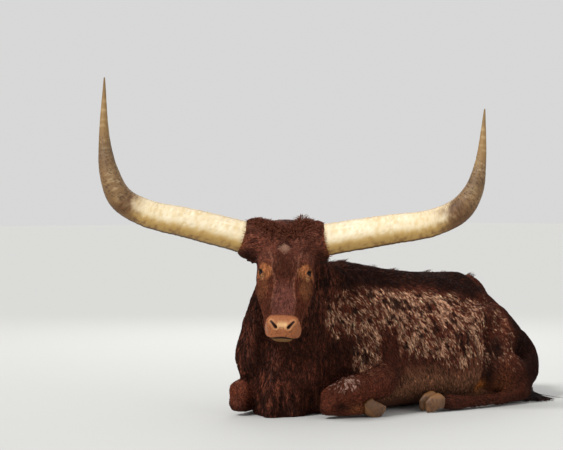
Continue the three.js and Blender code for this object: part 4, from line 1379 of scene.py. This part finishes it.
def hornColours(points, t, angle, which):
    wave = cloud(points / 60, 50)
    cross = banded(t, angle, 260, 1.2, 51)
    crossFine = banded(t, angle, 520, 2.0, 52)
    along = banded(t, angle, 14, 7, 53)
    speck = 0.6 * cloud(points / 3.6, 54) + 0.6 * cloud(points / 2.3, 72)
    mottle = 0.6 * banded(t, angle, 110, 4, 56) + 0.4 * banded(t, angle, 240, 9, 67)
    down = -np.sin(angle) + 0.22 * mottle
    hairline = banded(t, angle, 430, 4.5, 68)
    # pale above, golden and brown below, with fine streaks; the lower side is partly the horn's own colour
    # and partly painted shade, with thin lines of painted shade along the very bottom and the very top
    c = np.zeros((len(points), 3)) + tone("cream")
    pale = 0.4 * smoothstep(0.0, 0.6, mottle + 0.5 * hairline) + 0.25 * smoothstep(0, 0.6, wave)
    c = over(c, "bright", pale)
    golden = 0.28 * smoothstep(0.1, 0.7, -hairline - 0.4 * mottle) + 0.1 * smoothstep(0.12, 0.0, t)
    c = over(c, "gold", golden)
    # the golden lower side: partly the horn's colour, partly painted shade
    c = over(c, "gold", 0.92 * smoothstep(-0.05, 0.5, down))
    # the mottled brown of the lower side: partly stains, partly painted shade
    lowerStainAndShade = 0.55 * smoothstep(0.45, 0.95, down + 0.35 * mottle)
    c = over(c, "brown", lowerStainAndShade * smoothstep(-0.2, 0.5, mottle + 0.4 * crossFine))
    c = over(c, "brown", 0.2 * smoothstep(0.3, 0.8, hairline))
    # painted shade: a thin brown line along the top of the horn
    c = over(c, "brown", 0.35 * smoothstep(0.9, 0.99, np.sin(angle)))
    # painted shade: a dark line along the underside of the horn
    c = over(c, "under", 0.85 * smoothstep(0.84, 0.95, -np.sin(angle)))
    # the darker upper part, from the bend on
    bend = smoothstep(0.45, 0.58, t + 0.035 * along + 0.04 * mottle - 0.05 * np.sin(angle))
    c = over(c, "bend", 0.92 * bend * (1 - 0.35 * smoothstep(0.1, 0.6, mottle)))
    blotAt, blotWide = hornLook["blot"][which]
    blot = bump(t - blotAt + 0.02 * along, blotWide) * smoothstep(-0.6, 0.2, cloud(points / 38, 55))
    c = over(c, "patch", 0.9 * blot * (0.75 + 0.4 * mottle))
    c = over(c, "grey", 0.7 * smoothstep(0.6, 0.74, t) * smoothstep(-0.3, 0.4, along + 0.5 * wave))
    specks = 0.8 * smoothstep(0.12, 0.42, speck + 0.3 * along) * smoothstep(0.46, 0.6, t)
    c = over(c, "speck", specks * (1 - 0.6 * smoothstep(0.8, 0.95, t)))
    c = over(c, "speck", 0.45 * bump(t - hornLook["darkBand"][which], 0.05) * (0.7 + 0.6 * cross))
    if which == "right":
        c = over(c, "speck", 0.8 * bump(t - 0.69, 0.018) * smoothstep(0, 0.5, np.cos(angle - 0.6)))
    c = over(c, "gold", 0.3 * smoothstep(0.8, 0.92, t))
    c = over(c, "tip", 0.5 * smoothstep(0.93, 1.0, t))
    c = over(c, "speck", 0.25 * smoothstep(0.3, 0.8, along) * smoothstep(0.6, 0.8, t))
    return toLinear(c)


def hornPiece(which):
    path, sides = hornPath(**hornShapes[which]), hornLook["sides"]
    stations = [station(at, hornBase * share, 2.0) for at, share in zip(path, hornLook["shares"])]
    look = {"up": (0, -1, 0), "domes": (0, 4), "grow": -0.8}
    points, quads, tris, t = loft(stations, hornLook["steps"], sides, **look)
    share = np.repeat(t, sides)
    middles = points[:-2].reshape(-1, sides, 3).mean(1).repeat(sides, 0)
    out = unit(points[:-2] - middles)
    # round the horn, zero faces back and a quarter turn faces up
    angle = np.arctan2(out[:, 2], out[:, 1])
    rings = banded(share, angle, 150, 0.6, 60)
    fineRings = banded(share, angle, 420, 1.5, 61)
    strength = 1 - 0.75 * smoothstep(0.35, 0.65, share)
    push = (1.5 * rings + 0.7 * fineRings) * strength + 0.5 * cloud(points[:-2] / 16, 62)
    push *= smoothstep(1.0, 0.9, share)
    points[:-2] += out * push[:, None]
    colours = hornColours(points, np.append(share, [0, 1]), np.append(angle, [0, 0]), which)
    made = solidObject(f"horn_{which}_sheath", moved(points, hornMatrix), quads, tris)
    setColours(made, "tone", colours)
    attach(made, "root")
    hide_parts(f"horn_{which}")
    return made


hornPieces = [hornPiece(which) for which in hornShapes]
print("horns")


# eyes, with their wet rims and lashes
eyeLook = {
    "pupil": (6, 5, 5),
    "iris": (30, 17, 11),
    "irisEdge": (14, 9, 7),
    "white": (150, 124, 110),
    "lashes": 34,
}


def toBody(q, side):
    axes, centre, _ = eyeAxes(side)
    return moved(np.asarray(q) @ axes.T + centre, headMatrix)


def eyePiece(side):
    radius = pose["eyeRadius"]
    bpy.ops.object.select_all(action="DESELECT")
    bpy.ops.mesh.primitive_uv_sphere_add(segments=64, ring_count=40, radius=radius - 0.4)
    made = bpy.context.object
    made.name = f"eye_{side}_ball"
    count = len(made.data.vertices)
    q = np.zeros(count * 3)
    made.data.vertices.foreach_get("co", q)
    q = q.reshape(-1, 3)
    q[:, 2] += 1.8 * np.exp(-((np.hypot(q[:, 0], q[:, 1]) / 9.5) ** 4)) * (q[:, 2] > 0)
    colours = np.zeros((count, 3)) + np.array(eyeLook["white"]) / 255
    far = np.hypot(q[:, 0] * 1.05, q[:, 1])
    iris = smoothstep(13.6, 12.6, far)[:, None]
    ring = smoothstep(9.5, 12.5, far)[:, None]
    inner = mixed(np.array(eyeLook["iris"]) / 255, np.array(eyeLook["irisEdge"]) / 255, ring)
    colours = mixed(colours, inner, iris)
    pupil = smoothstep(1.12, 0.95, np.hypot(q[:, 0] / 5.0, q[:, 1] / 8.5))[:, None]
    colours = mixed(colours, np.array(eyeLook["pupil"]) / 255, pupil)
    made.data.vertices.foreach_set("co", ((toBody(q, side) + offset) / 1000).ravel())
    made.data.update()
    made.data.polygons.foreach_set("use_smooth", np.ones(len(made.data.polygons), bool))
    setColours(made, "tone", toLinear(colours))
    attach(made, "root")
    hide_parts(f"eye_{side}")
    return made


# A round tube along a path, with its own radius at each point. It has ends, or runs on as a ring.
def tube(path, radius, sides=6, closed=False):
    path = np.array(path, float)
    n = len(path)
    before = np.roll(path, 1, 0) if closed else np.vstack([path[:1], path[:-1]])
    after = np.roll(path, -1, 0) if closed else np.vstack([path[1:], path[-1:]])
    way = unit(after - before)
    ref = np.where(np.abs(way[:, 2:]) > 0.9, [[1.0, 0, 0]], [[0, 0, 1.0]])
    across = unit(np.cross(way, ref))
    rise = np.cross(across, way)
    angle = np.arange(sides) * 2 * math.pi / sides
    ring = across[:, None] * np.cos(angle)[None, :, None] + rise[:, None] * np.sin(angle)[None, :, None]
    points = (path[:, None] + ring * (np.zeros(n) + radius)[:, None, None]).reshape(-1, 3)
    j = np.arange(sides)
    k = (j + 1) % sides
    rows = np.arange(n if closed else n - 1)[:, None] * sides
    nextRows = (rows + sides) % (n * sides)
    quads = np.stack([rows + j, nextRows + j, nextRows + k, rows + k], -1).reshape(-1, 4)
    if closed:
        return points, quads, np.zeros((0, 3), int)
    points = np.vstack([points, path[0], path[-1]])
    a, b, end = n * sides, n * sides + 1, (n - 1) * sides
    tris = np.vstack([np.stack([0 * j + a, j, k], -1), np.stack([0 * j + b, end + k, end + j], -1)])
    return points, quads, tris


def lidCurve(along, way):
    return way * lidLook["high"] * (1 - (along / lidLook["half"]) ** 2)


def lidRim(side):
    _, _, up = eyeAxes(side)
    turn = np.linspace(0, 2 * math.pi, 80, endpoint=False)
    along = 0.99 * lidLook["half"] * np.cos(turn)
    x, y = fromLids(along, lidCurve(along, np.sign(np.sin(turn))) + 0.02, up)
    z = np.sqrt((pose["eyeRadius"] + 1.4) ** 2 - x**2 - y**2)
    return tube(toBody(np.column_stack([x, y, z]), side), 1.3, 8, closed=True)


def lashes(side):
    _, _, up = eyeAxes(side)
    rise = np.array((up * math.sin(lidTilt), math.cos(lidTilt), 0))
    parts = []
    for i in range(eyeLook["lashes"]):
        along = 11.5 - 23 * (i + 0.5) / eyeLook["lashes"] + rng.normal(0, 0.3)
        x, y = fromLids(along, lidCurve(along, 1) + 1.2, up)
        z = math.sqrt((pose["eyeRadius"] + 3.5) ** 2 - x**2 - y**2)
        long = rng.uniform(9, 14)
        s = np.linspace(0, 1, 5)[:, None]
        droop = np.array((rng.normal(0, 0.12), 0, 0.95)) - 0.3 * rise
        curve = np.array((x, y, z)) + s * long * droop + s**2 * long * 0.3 * rise
        parts.append(tube(toBody(curve, side), 0.55 * (1 - 0.85 * s[:, 0]), 4))
    return gathered(parts)


eyePieces = [eyePiece(side) for side in pose["eyePlaces"]]
rims = solidObject("lid_rims", *gathered([lidRim(side) for side in pose["eyePlaces"]]))
lashPiece = solidObject("lashes", *gathered([lashes(side) for side in pose["eyePlaces"]]))
for piece in (rims, lashPiece):
    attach(piece, "root")
print("eyes")


# claws
clawLook = {"steps": 30, "sides": 40, "toe": 68, "taper": 0.42, "apart": 27.5, "ring": 7}
clawTones = {"base": (110, 72, 36), "dark": (74, 46, 23), "pale": (120, 80, 42)}
feet = {
    "fore_left": ((302, -70), (134, 0, -22)),
    "fore_right": ((-256, -262), (134, 0, 26)),
    "hind_left": ((358, 296), (-3, 5, -12)),
    "hind_right": ((-380, 296), (-3, -5, 12)),
}


def clawRings(p):
    return np.cos(2 * math.pi * (p[:, 2] + 0.12 * p[:, 1]) / clawLook["ring"])


def clawShape():
    toe = clawLook["toe"]
    stations = stationsFrom([
        (0, 2, 0, 17, toe - 20, 23, 2.0),
        (0, 0, 5, 23, toe - 7, 32, 2.0),
        (0, 1, 12, 26, toe - 1, 38, 2.0),
        (0, 5, 26, 27, 60, 40, 2.0),
        (0, 14, 42, 26, 47, 35, 2.0),
        (0, 21, 53, 23, 36, 29, 2.0),
        (0, 25, 58, 19, 28, 24, 2.0),
    ])
    look = {"up": (0, -1, 0), "domes": (5, 6), "grow": -0.5}
    points, quads, tris, _ = loft(stations, clawLook["steps"], clawLook["sides"], **look)
    points[:, 0] *= 1 - clawLook["taper"] * (np.maximum(-points[:, 1], 0) / toe) ** 2
    middle = np.array((0, 12, 0)) + points * np.array((0, 0, 1))
    out = unit(points - middle)
    relief = 0.45 * clawRings(points) + 0.8 * cloud(points / 9, 70)
    return points + out * relief[:, None] * (points[:, 2:] > 6), quads, tris


def clawColours(p):
    base, dark, pale = [np.array(clawTones[name]) for name in ("base", "dark", "pale")]
    mottle = 0.8 * cloud(p / np.array((5, 5, 22)), 71) + 0.3 * cloud(p / 4, 72) + 0.35 * clawRings(p)
    mix = smoothstep(-0.9, 0.7, mottle)[:, None]
    top = smoothstep(48, 57, p[:, 2])[:, None]
    return toLinear(mixed(mixed(dark, base, mix), pale, top) / 255)


# The two claws of each foot, tilted with it and set down on the ground.
def clawPieces():
    made = []
    shape, quads, tris = clawShape()
    for foot, (at, turn) in feet.items():
        footMatrix = placing((*at, 0), turn)
        pair = {}
        for which, side in (("inner", -1), ("outer", 1)):
            along = side * clawLook["apart"]
            pair[which] = moved(shape, footMatrix @ Matrix.Translation((along, 0, -30)))
        lowest = min(points[:, 2].min() for points in pair.values())
        for which, points in pair.items():
            points[:, 2] = np.maximum(points[:, 2] - lowest - 1.5, 0.2)
            piece = solidObject(f"hoof_{foot}_{which}", points, quads, tris)
            setColours(piece, "tone", clawColours(shape))
            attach(piece, "root")
            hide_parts(f"claw_{foot}_{which}")
            made.append(piece)
    return made


claws = clawPieces()
print("claws")


# the long hair: locks of the poll, round the horns, along the back, of the switch and in the ears
longLook = {
    "pollLocks": 1200,
    "collarLocks": 1000,
    "spineLocks": 1500,
    "switchLocks": 520,
    "earLocks": 90,
    "taper": (1, 1, 0.9, 0.7, 0.4, 0.08),
}
# how high the poll's hair stands at each distance from its middle
pollProfiles = {
    "right": ((-12, 0), (15, 0), (32, 4), (59, 14), (100, 22), (134, 22), (148, 8)),
    "left": (
        (12, 0), (28, 2), (45, 14), (58, 42), (70, 66),
        (84, 52), (104, 36), (126, 20), (146, 6), (158, 0),
    ),
}


# Grows locks one by one. Each is a path with its radii, or nothing where it finds no skin, and has a
# shade from dark to light: the higher the fade, the fewer are light.
def locks(count, oneLock, fade=1):
    parts, shades = [], []
    for i in range(count):
        lock = oneLock(i)
        if lock is None:
            continue
        parts.append(tube(*lock, 4))
        shades.append(rng.uniform(0, 1) ** fade)
    return parts, shades


def pollHair(which):
    side = hornShapes[which]["side"]
    outs, highs = np.array(pollProfiles[which], float).T
    s = np.linspace(0, 1, 6)[:, None]

    def oneLock(i):
        out = rng.uniform(outs[0] - 14, outs[-1] - 4)
        across = rng.uniform(-52, 56)
        above = moved([(side * out, across, 160), (side * out, across, 60)], hornMatrix)
        place = skinTree.ray_cast(Vector(above[0]), Vector(above[1] - above[0]))[0]
        if place is None:
            return None
        root = moved([place], hornInverse)[0]
        room = max(np.interp(out, outs, highs) * bump((across - 4) / 38, 1) - root[2], 0)
        root[2] += room * rng.uniform(0, 0.8) - 4
        lean = -0.35 if across < 12 else 0.4
        way = (side * rng.normal(0.15, 0.45), rng.normal(lean, 0.35), rng.normal(0.9, 0.3))
        curl = np.array((rng.normal(0, 0.4), rng.normal(-0.1, 0.3), -0.25))
        long = rng.uniform(11, 17) * (0.55 + 0.45 * smoothstep(25, 70, out))
        long += min(room, 12) * rng.uniform(0.3, 0.8)
        path = root + long * (s * unit(np.array(way)) + s**2 * curl)
        return moved(path, hornMatrix), rng.uniform(1.3, 2.1) * np.array(longLook["taper"])

    return locks(longLook["pollLocks"], oneLock)


# Short locks that stand a little off the back, taller at the neck's crest and at the root of the tail,
# with a tuft over the withers.
def spineLocks():
    cosine, sine = foldLook["across"]
    s = np.linspace(0, 1, 5)[:, None]

    def oneLock(i):
        y = rng.uniform(-330, 935)
        x = np.interp(-y, (-60, 0, 150, 250, 330), (0, 20, 118, 150, 160)) + rng.normal(0, 20)
        tuft = i % 5 == 0
        if tuft:
            x = rng.uniform(0, 100)
            y = (rng.uniform(-62, 20) - cosine * x) / sine
        place = skinTree.ray_cast(Vector((x, y, 1200)), Vector((0, 0, -1)))[0]
        if place is None:
            return None
        clump = smoothstep(0.25, 0.5, cloud(np.array([[y / 26, 0.5, 0.5]]), 73)[0])
        shaggy = max(smoothstep(0, -90, y), smoothstep(840, 915, y), clump, 1.3 * tuft)
        long = (14 + 26 * shaggy) * rng.uniform(0.6, 1.1)
        rise = 0.3 + 1.6 * shaggy * rng.uniform(0.3, 1)
        back = unit(np.array((rng.normal(0, 0.25), 1.0, rise)))
        root = np.array(place) - np.array((0, 0, 3))
        path = root + s * long * back + s**2 * long * np.array((0, 0.25, -0.25 * rise))
        return path, rng.uniform(1.2, 2.0) * (1 - 0.92 * s[:, 0])

    return locks(longLook["spineLocks"], oneLock, fade=2)


# Hair at the edge of each sleeve, which sweeps out over the horn.
def hornCollar(which):
    path = hornPath(**hornShapes[which])

    def oneLock(i):
        turn = rng.uniform(0, 2 * math.pi)
        start = rng.uniform(0.108, 0.144)
        long = rng.uniform(0.008, 0.022) * rng.uniform(0.5, 1)
        swirl = rng.normal(0, 0.1)
        curve = []
        for s in (0, 0.35, 0.7, 1.0):
            t = np.array([start + long * s])
            middle, way = through(path, t)[0], ahead(path, t)[0]
            rise = unit(np.array((0, -1.0, 0)) + way * way[1])
            across = np.cross(way, rise)
            angle = turn + swirl * s
            high = 77 + 3 * math.sin(math.pi * s * 0.8) * rng.uniform(0.4, 1)
            curve.append(middle + (across * math.cos(angle) + rise * math.sin(angle)) * high)
        radius = rng.uniform(0.9, 1.5) * np.array(longLook["taper"])
        return moved(through(curve, np.linspace(0, 1, 6)), hornMatrix), radius

    return locks(longLook["collarLocks"], oneLock)


# Hair that fans out over the ground from the end of the tail.
def tailSwitch():
    x, y, z = tailPath[-1][:3]

    def oneLock(i):
        share = rng.uniform(-0.5, 0.5)
        wave = rng.normal(0, 0.7)
        heading = math.radians(-52 + share * 70)
        length = (215 + 30 * rng.normal() - 80 * abs(share)) * rng.uniform(0.75, 1.0)
        length = min(length, 250)
        high = rng.uniform(6, 44) * (1 - abs(share))
        curve = [(x - 4 + rng.uniform(-8, 8), y + 6 + rng.uniform(-8, 8), z + rng.uniform(-10, 12))]
        for s, lift in ((0.3, high), (0.65, high * 0.55 + 3), (1.0, 2.5 + 4 * rng.random())):
            bend = heading + 0.3 * wave * s
            across, along = math.cos(bend) * length * s, math.sin(bend) * length * s
            curve.append((x + 22 * s + across, y - 30 * s + along, lift))
        path = through(curve, np.linspace(0, 1, 12))
        path[:, 2] = np.maximum(path[:, 2], 2.0)
        return path, rng.uniform(1.6, 2.8) * np.linspace(1, 0.1, 12) ** 0.6

    return locks(longLook["switchLocks"], oneLock)


# Hair inside an ear.
def earHair(sign):
    opening = unit(np.array((sign * 0.2, -1.0, 0.1)))
    wide = unit(np.array((sign * 0.66, 0.1, 0.74)))
    along = unit(np.array((sign * 130, 44, -146)))
    s = np.linspace(0, 1, 5)[:, None]

    def oneLock(i):
        share = rng.uniform(0.2, 0.85)
        across = rng.uniform(-0.75, 0.75)
        centre = np.array(earPlace(sign, share))
        root = centre + wide * across * 34 * math.sin(math.pi * share) + opening * 4
        long = rng.uniform(16, 30)
        path = root + s * long * (along * 0.8 + opening * 0.35) + s**2 * long * (-wide * across * 0.5)
        return moved(path, headMatrix), 1.3 * (1 - 0.9 * s[:, 0])

    return locks(longLook["earLocks"], oneLock)


def hairPiece(name, made, darkTone, lightTone, replaced=()):
    parts, shades = made
    piece = solidObject(name, *gathered(parts))
    dark, light = tone(darkTone), tone(lightTone)
    shade = np.concatenate([np.full(len(part[0]), s) for part, s in zip(parts, shades)])[:, None]
    setColours(piece, "tone", toLinear(mixed(dark, light, shade)))
    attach(piece, "root")
    if replaced:
        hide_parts(*replaced)
    return piece


hairPieces = [
    hairPiece("poll_locks_right", pollHair("right"), "mahogany", "streak", ("poll_hair_right",)),
    hairPiece("poll_locks_left", pollHair("left"), "mahogany", "streak", ("poll_hair_left",)),
    hairPiece("collar_right", hornCollar("right"), "mahogany", "edge"),
    hairPiece("collar_left", hornCollar("left"), "mahogany", "edge"),
    hairPiece("spine_locks", spineLocks(), "deep", "red"),
    hairPiece("switch_locks", tailSwitch(), "deep", "dark", ("tail_switch",)),
    hairPiece("ear_locks_right", earHair(-1), "deep", "mahogany"),
    hairPiece("ear_locks_left", earHair(1), "deep", "mahogany"),
]
print("long hair")


# materials, whose colours come from each piece's tone unless they name one
materialLooks = {
    "hide": {"roughness": 0.62, "wetRoughness": 0.34, "specular": 0.1, "grain": (420, 0.0012)},
    "coat hair": {"roughness": 0.58, "specular": 0.07},
    "long hair": {"roughness": 0.55, "specular": 0.08},
    "horn": {"roughness": 0.56, "specular": 0.3, "grain": (160, 0.0012)},
    "eye surface": {"roughness": 0.16, "specular": 0.1},
    "hoof": {"roughness": 0.5, "grain": (300, 0.0008)},
    "wet rim": {"colour": tones["moistAndShade"], "roughness": 0.35, "specular": 0.15},
    "lash": {"colour": tones["deep"], "roughness": 0.4},
    "floor": {"colour": (200, 200, 197), "roughness": 0.9},
}


# Fine grain in the object's own space, as a height.
def grainGroup():
    group = bpy.data.node_groups.new("fine grain", "ShaderNodeTree")
    group.interface.new_socket("Scale", in_out="INPUT", socket_type="NodeSocketFloat")
    group.interface.new_socket("Strength", in_out="INPUT", socket_type="NodeSocketFloat")
    group.interface.new_socket("Height", in_out="OUTPUT", socket_type="NodeSocketFloat")
    nodes, links = group.nodes, group.links
    given, out = nodes.new("NodeGroupInput"), nodes.new("NodeGroupOutput")
    place = nodes.new("ShaderNodeTexCoord")
    noise = nodes.new("ShaderNodeTexNoise")
    noise.inputs["Detail"].default_value = 4
    strength = nodes.new("ShaderNodeMath")
    strength.operation = "MULTIPLY"
    links.new(place.outputs["Object"], noise.inputs["Vector"])
    links.new(given.outputs["Scale"], noise.inputs["Scale"])
    links.new(noise.outputs["Fac"], strength.inputs[0])
    links.new(given.outputs["Strength"], strength.inputs[1])
    links.new(strength.outputs[0], out.inputs["Height"])
    return group


grain = grainGroup()


def roughened(tree, shader, scale, distance):
    node = tree.nodes.new("ShaderNodeGroup")
    node.node_tree = grain
    node.inputs["Scale"].default_value = scale
    node.inputs["Strength"].default_value = 1
    relief = tree.nodes.new("ShaderNodeBump")
    relief.inputs["Distance"].default_value = distance
    tree.links.new(node.outputs["Height"], relief.inputs["Height"])
    tree.links.new(relief.outputs["Normal"], shader.inputs["Normal"])


# Makes the surface smoother where a point is wet.
def moistened(tree, shader, dry, wet):
    wetness = tree.nodes.new("ShaderNodeAttribute")
    wetness.attribute_name = "wet"
    smoother = tree.nodes.new("ShaderNodeMapRange")
    smoother.inputs["To Min"].default_value = dry
    smoother.inputs["To Max"].default_value = wet
    tree.links.new(wetness.outputs["Fac"], smoother.inputs["Value"])
    tree.links.new(smoother.outputs["Result"], shader.inputs["Roughness"])


def material(name):
    look = materialLooks[name]
    made = bpy.data.materials.new(name)
    made.use_nodes = True
    tree = made.node_tree
    shader = tree.nodes["Principled BSDF"]
    colour = look.get("colour", (120, 90, 70))
    shader.inputs["Base Color"].default_value = (*toLinear(np.array(colour) / 255), 1)
    shader.inputs["Roughness"].default_value = look["roughness"]
    if "specular" in look:
        shader.inputs["Specular IOR Level"].default_value = look["specular"]
    if "colour" not in look:
        tint = tree.nodes.new("ShaderNodeAttribute")
        tint.attribute_name = "tone"
        tree.links.new(tint.outputs["Color"], shader.inputs["Base Color"])
    if "wetRoughness" in look:
        moistened(tree, shader, look["roughness"], look["wetRoughness"])
    if "grain" in look:
        roughened(tree, shader, *look["grain"])
    return made


def painted(pieces, name):
    made = material(name)
    for piece in pieces:
        piece.data.materials.clear()
        piece.data.materials.append(made)


hide = bpy.data.objects.new("hide", skin)
skin.transform(Matrix.Scale(0.001, 4) @ Matrix.Translation(offset))
scene.collection.objects.link(hide)
skin.polygons.foreach_set("use_smooth", np.ones(len(skin.polygons), bool))
setColours(hide, "tone", skinColour)
setNumbers(hide, "wet", np.clip(skinPad + skinLip, 0, 1))
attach(hide, "root")
fleshNodes = ["torso", "neck", "head", "tail"]
fleshNodes += [f"{name}_{side}" for name in ("ear", "foreleg", "hindleg") for side in ("left", "right")]
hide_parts(*fleshNodes)
for piece in coat:
    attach(piece, "root")
painted([hide], "hide")
painted(coat, "coat hair")
painted(hairPieces, "long hair")
painted(hornPieces, "horn")
painted(eyePieces, "eye surface")
painted(claws, "hoof")
painted([rims], "wet rim")
painted([lashPiece], "lash")
print("materials")


# studio
studio = {
    "reach": 60e3,
    "wall": (0.9, 0.9, 0.9),
    "wallStrength": 0.76,
    "lights": {
        "fill": ((6.5, 0.5, 2.2), 3.0, 60),
        "rim": ((-4.0, 3.0, 3.6), 3.0, 60),
    },
    "sun": {"from": (0.5, -6.0, 5.2), "energy": 2.5, "spread": 14},
}
floorCorners = studio["reach"] * np.array([(-1, -1, 0), (1, -1, 0), (1, 1, 0), (-1, 1, 0)])
floor = solidObject("floor", floorCorners, np.array([(0, 1, 2, 3)]), smooth=False)
painted([floor], "floor")

for name, (at, size, energy) in studio["lights"].items():
    lamp = bpy.data.lights.new(name, "AREA")
    lamp.energy = energy
    lamp.size = size
    lampObject = bpy.data.objects.new(name, lamp)
    lampObject.location = at
    aim = Vector((0, 0, 0.5)) - Vector(at)
    lampObject.rotation_euler = aim.to_track_quat("-Z", "Y").to_euler()
    scene.collection.objects.link(lampObject)

sun = bpy.data.lights.new("key", "SUN")
sun.energy = studio["sun"]["energy"]
sun.angle = math.radians(studio["sun"]["spread"])
sunObject = bpy.data.objects.new("key", sun)
sunObject.rotation_euler = (-Vector(studio["sun"]["from"])).to_track_quat("-Z", "Y").to_euler()
scene.collection.objects.link(sunObject)

world = bpy.data.worlds.new("studio")
scene.world = world
world.use_nodes = True
background = world.node_tree.nodes["Background"]
background.inputs["Color"].default_value = (*studio["wall"], 1)
background.inputs["Strength"].default_value = studio["wallStrength"]
scene.view_settings.view_transform = "Standard"

# the photograph's view: its bearing, its distance and the row of its horizon
view = {
    "azimuth": 50,
    "distance": 8020,
    "aside": 276,
    "height": 1000,
    "focal": 1650,
    "width": 563,
    "horizon": 21,
}
azimuth = math.radians(view["azimuth"])
toCamera = np.array([math.sin(azimuth), -math.cos(azimuth), 0])
toRight = np.array([math.cos(azimuth), math.sin(azimuth), 0])
cameraAt = toCamera * view["distance"] - toRight * view["aside"] + np.array([0, 0, view["height"]])
camera = bpy.data.cameras.new("camera")
camera.sensor_width = 36
camera.lens = view["focal"] / view["width"] * camera.sensor_width
cameraObject = bpy.data.objects.new("camera", camera)
cameraObject.location = (cameraAt + offset) / 1000
cameraObject.rotation_euler = (math.pi / 2 - math.atan(view["horizon"] / view["focal"]), 0, azimuth)
scene.collection.objects.link(cameraObject)
scene.camera = cameraObject
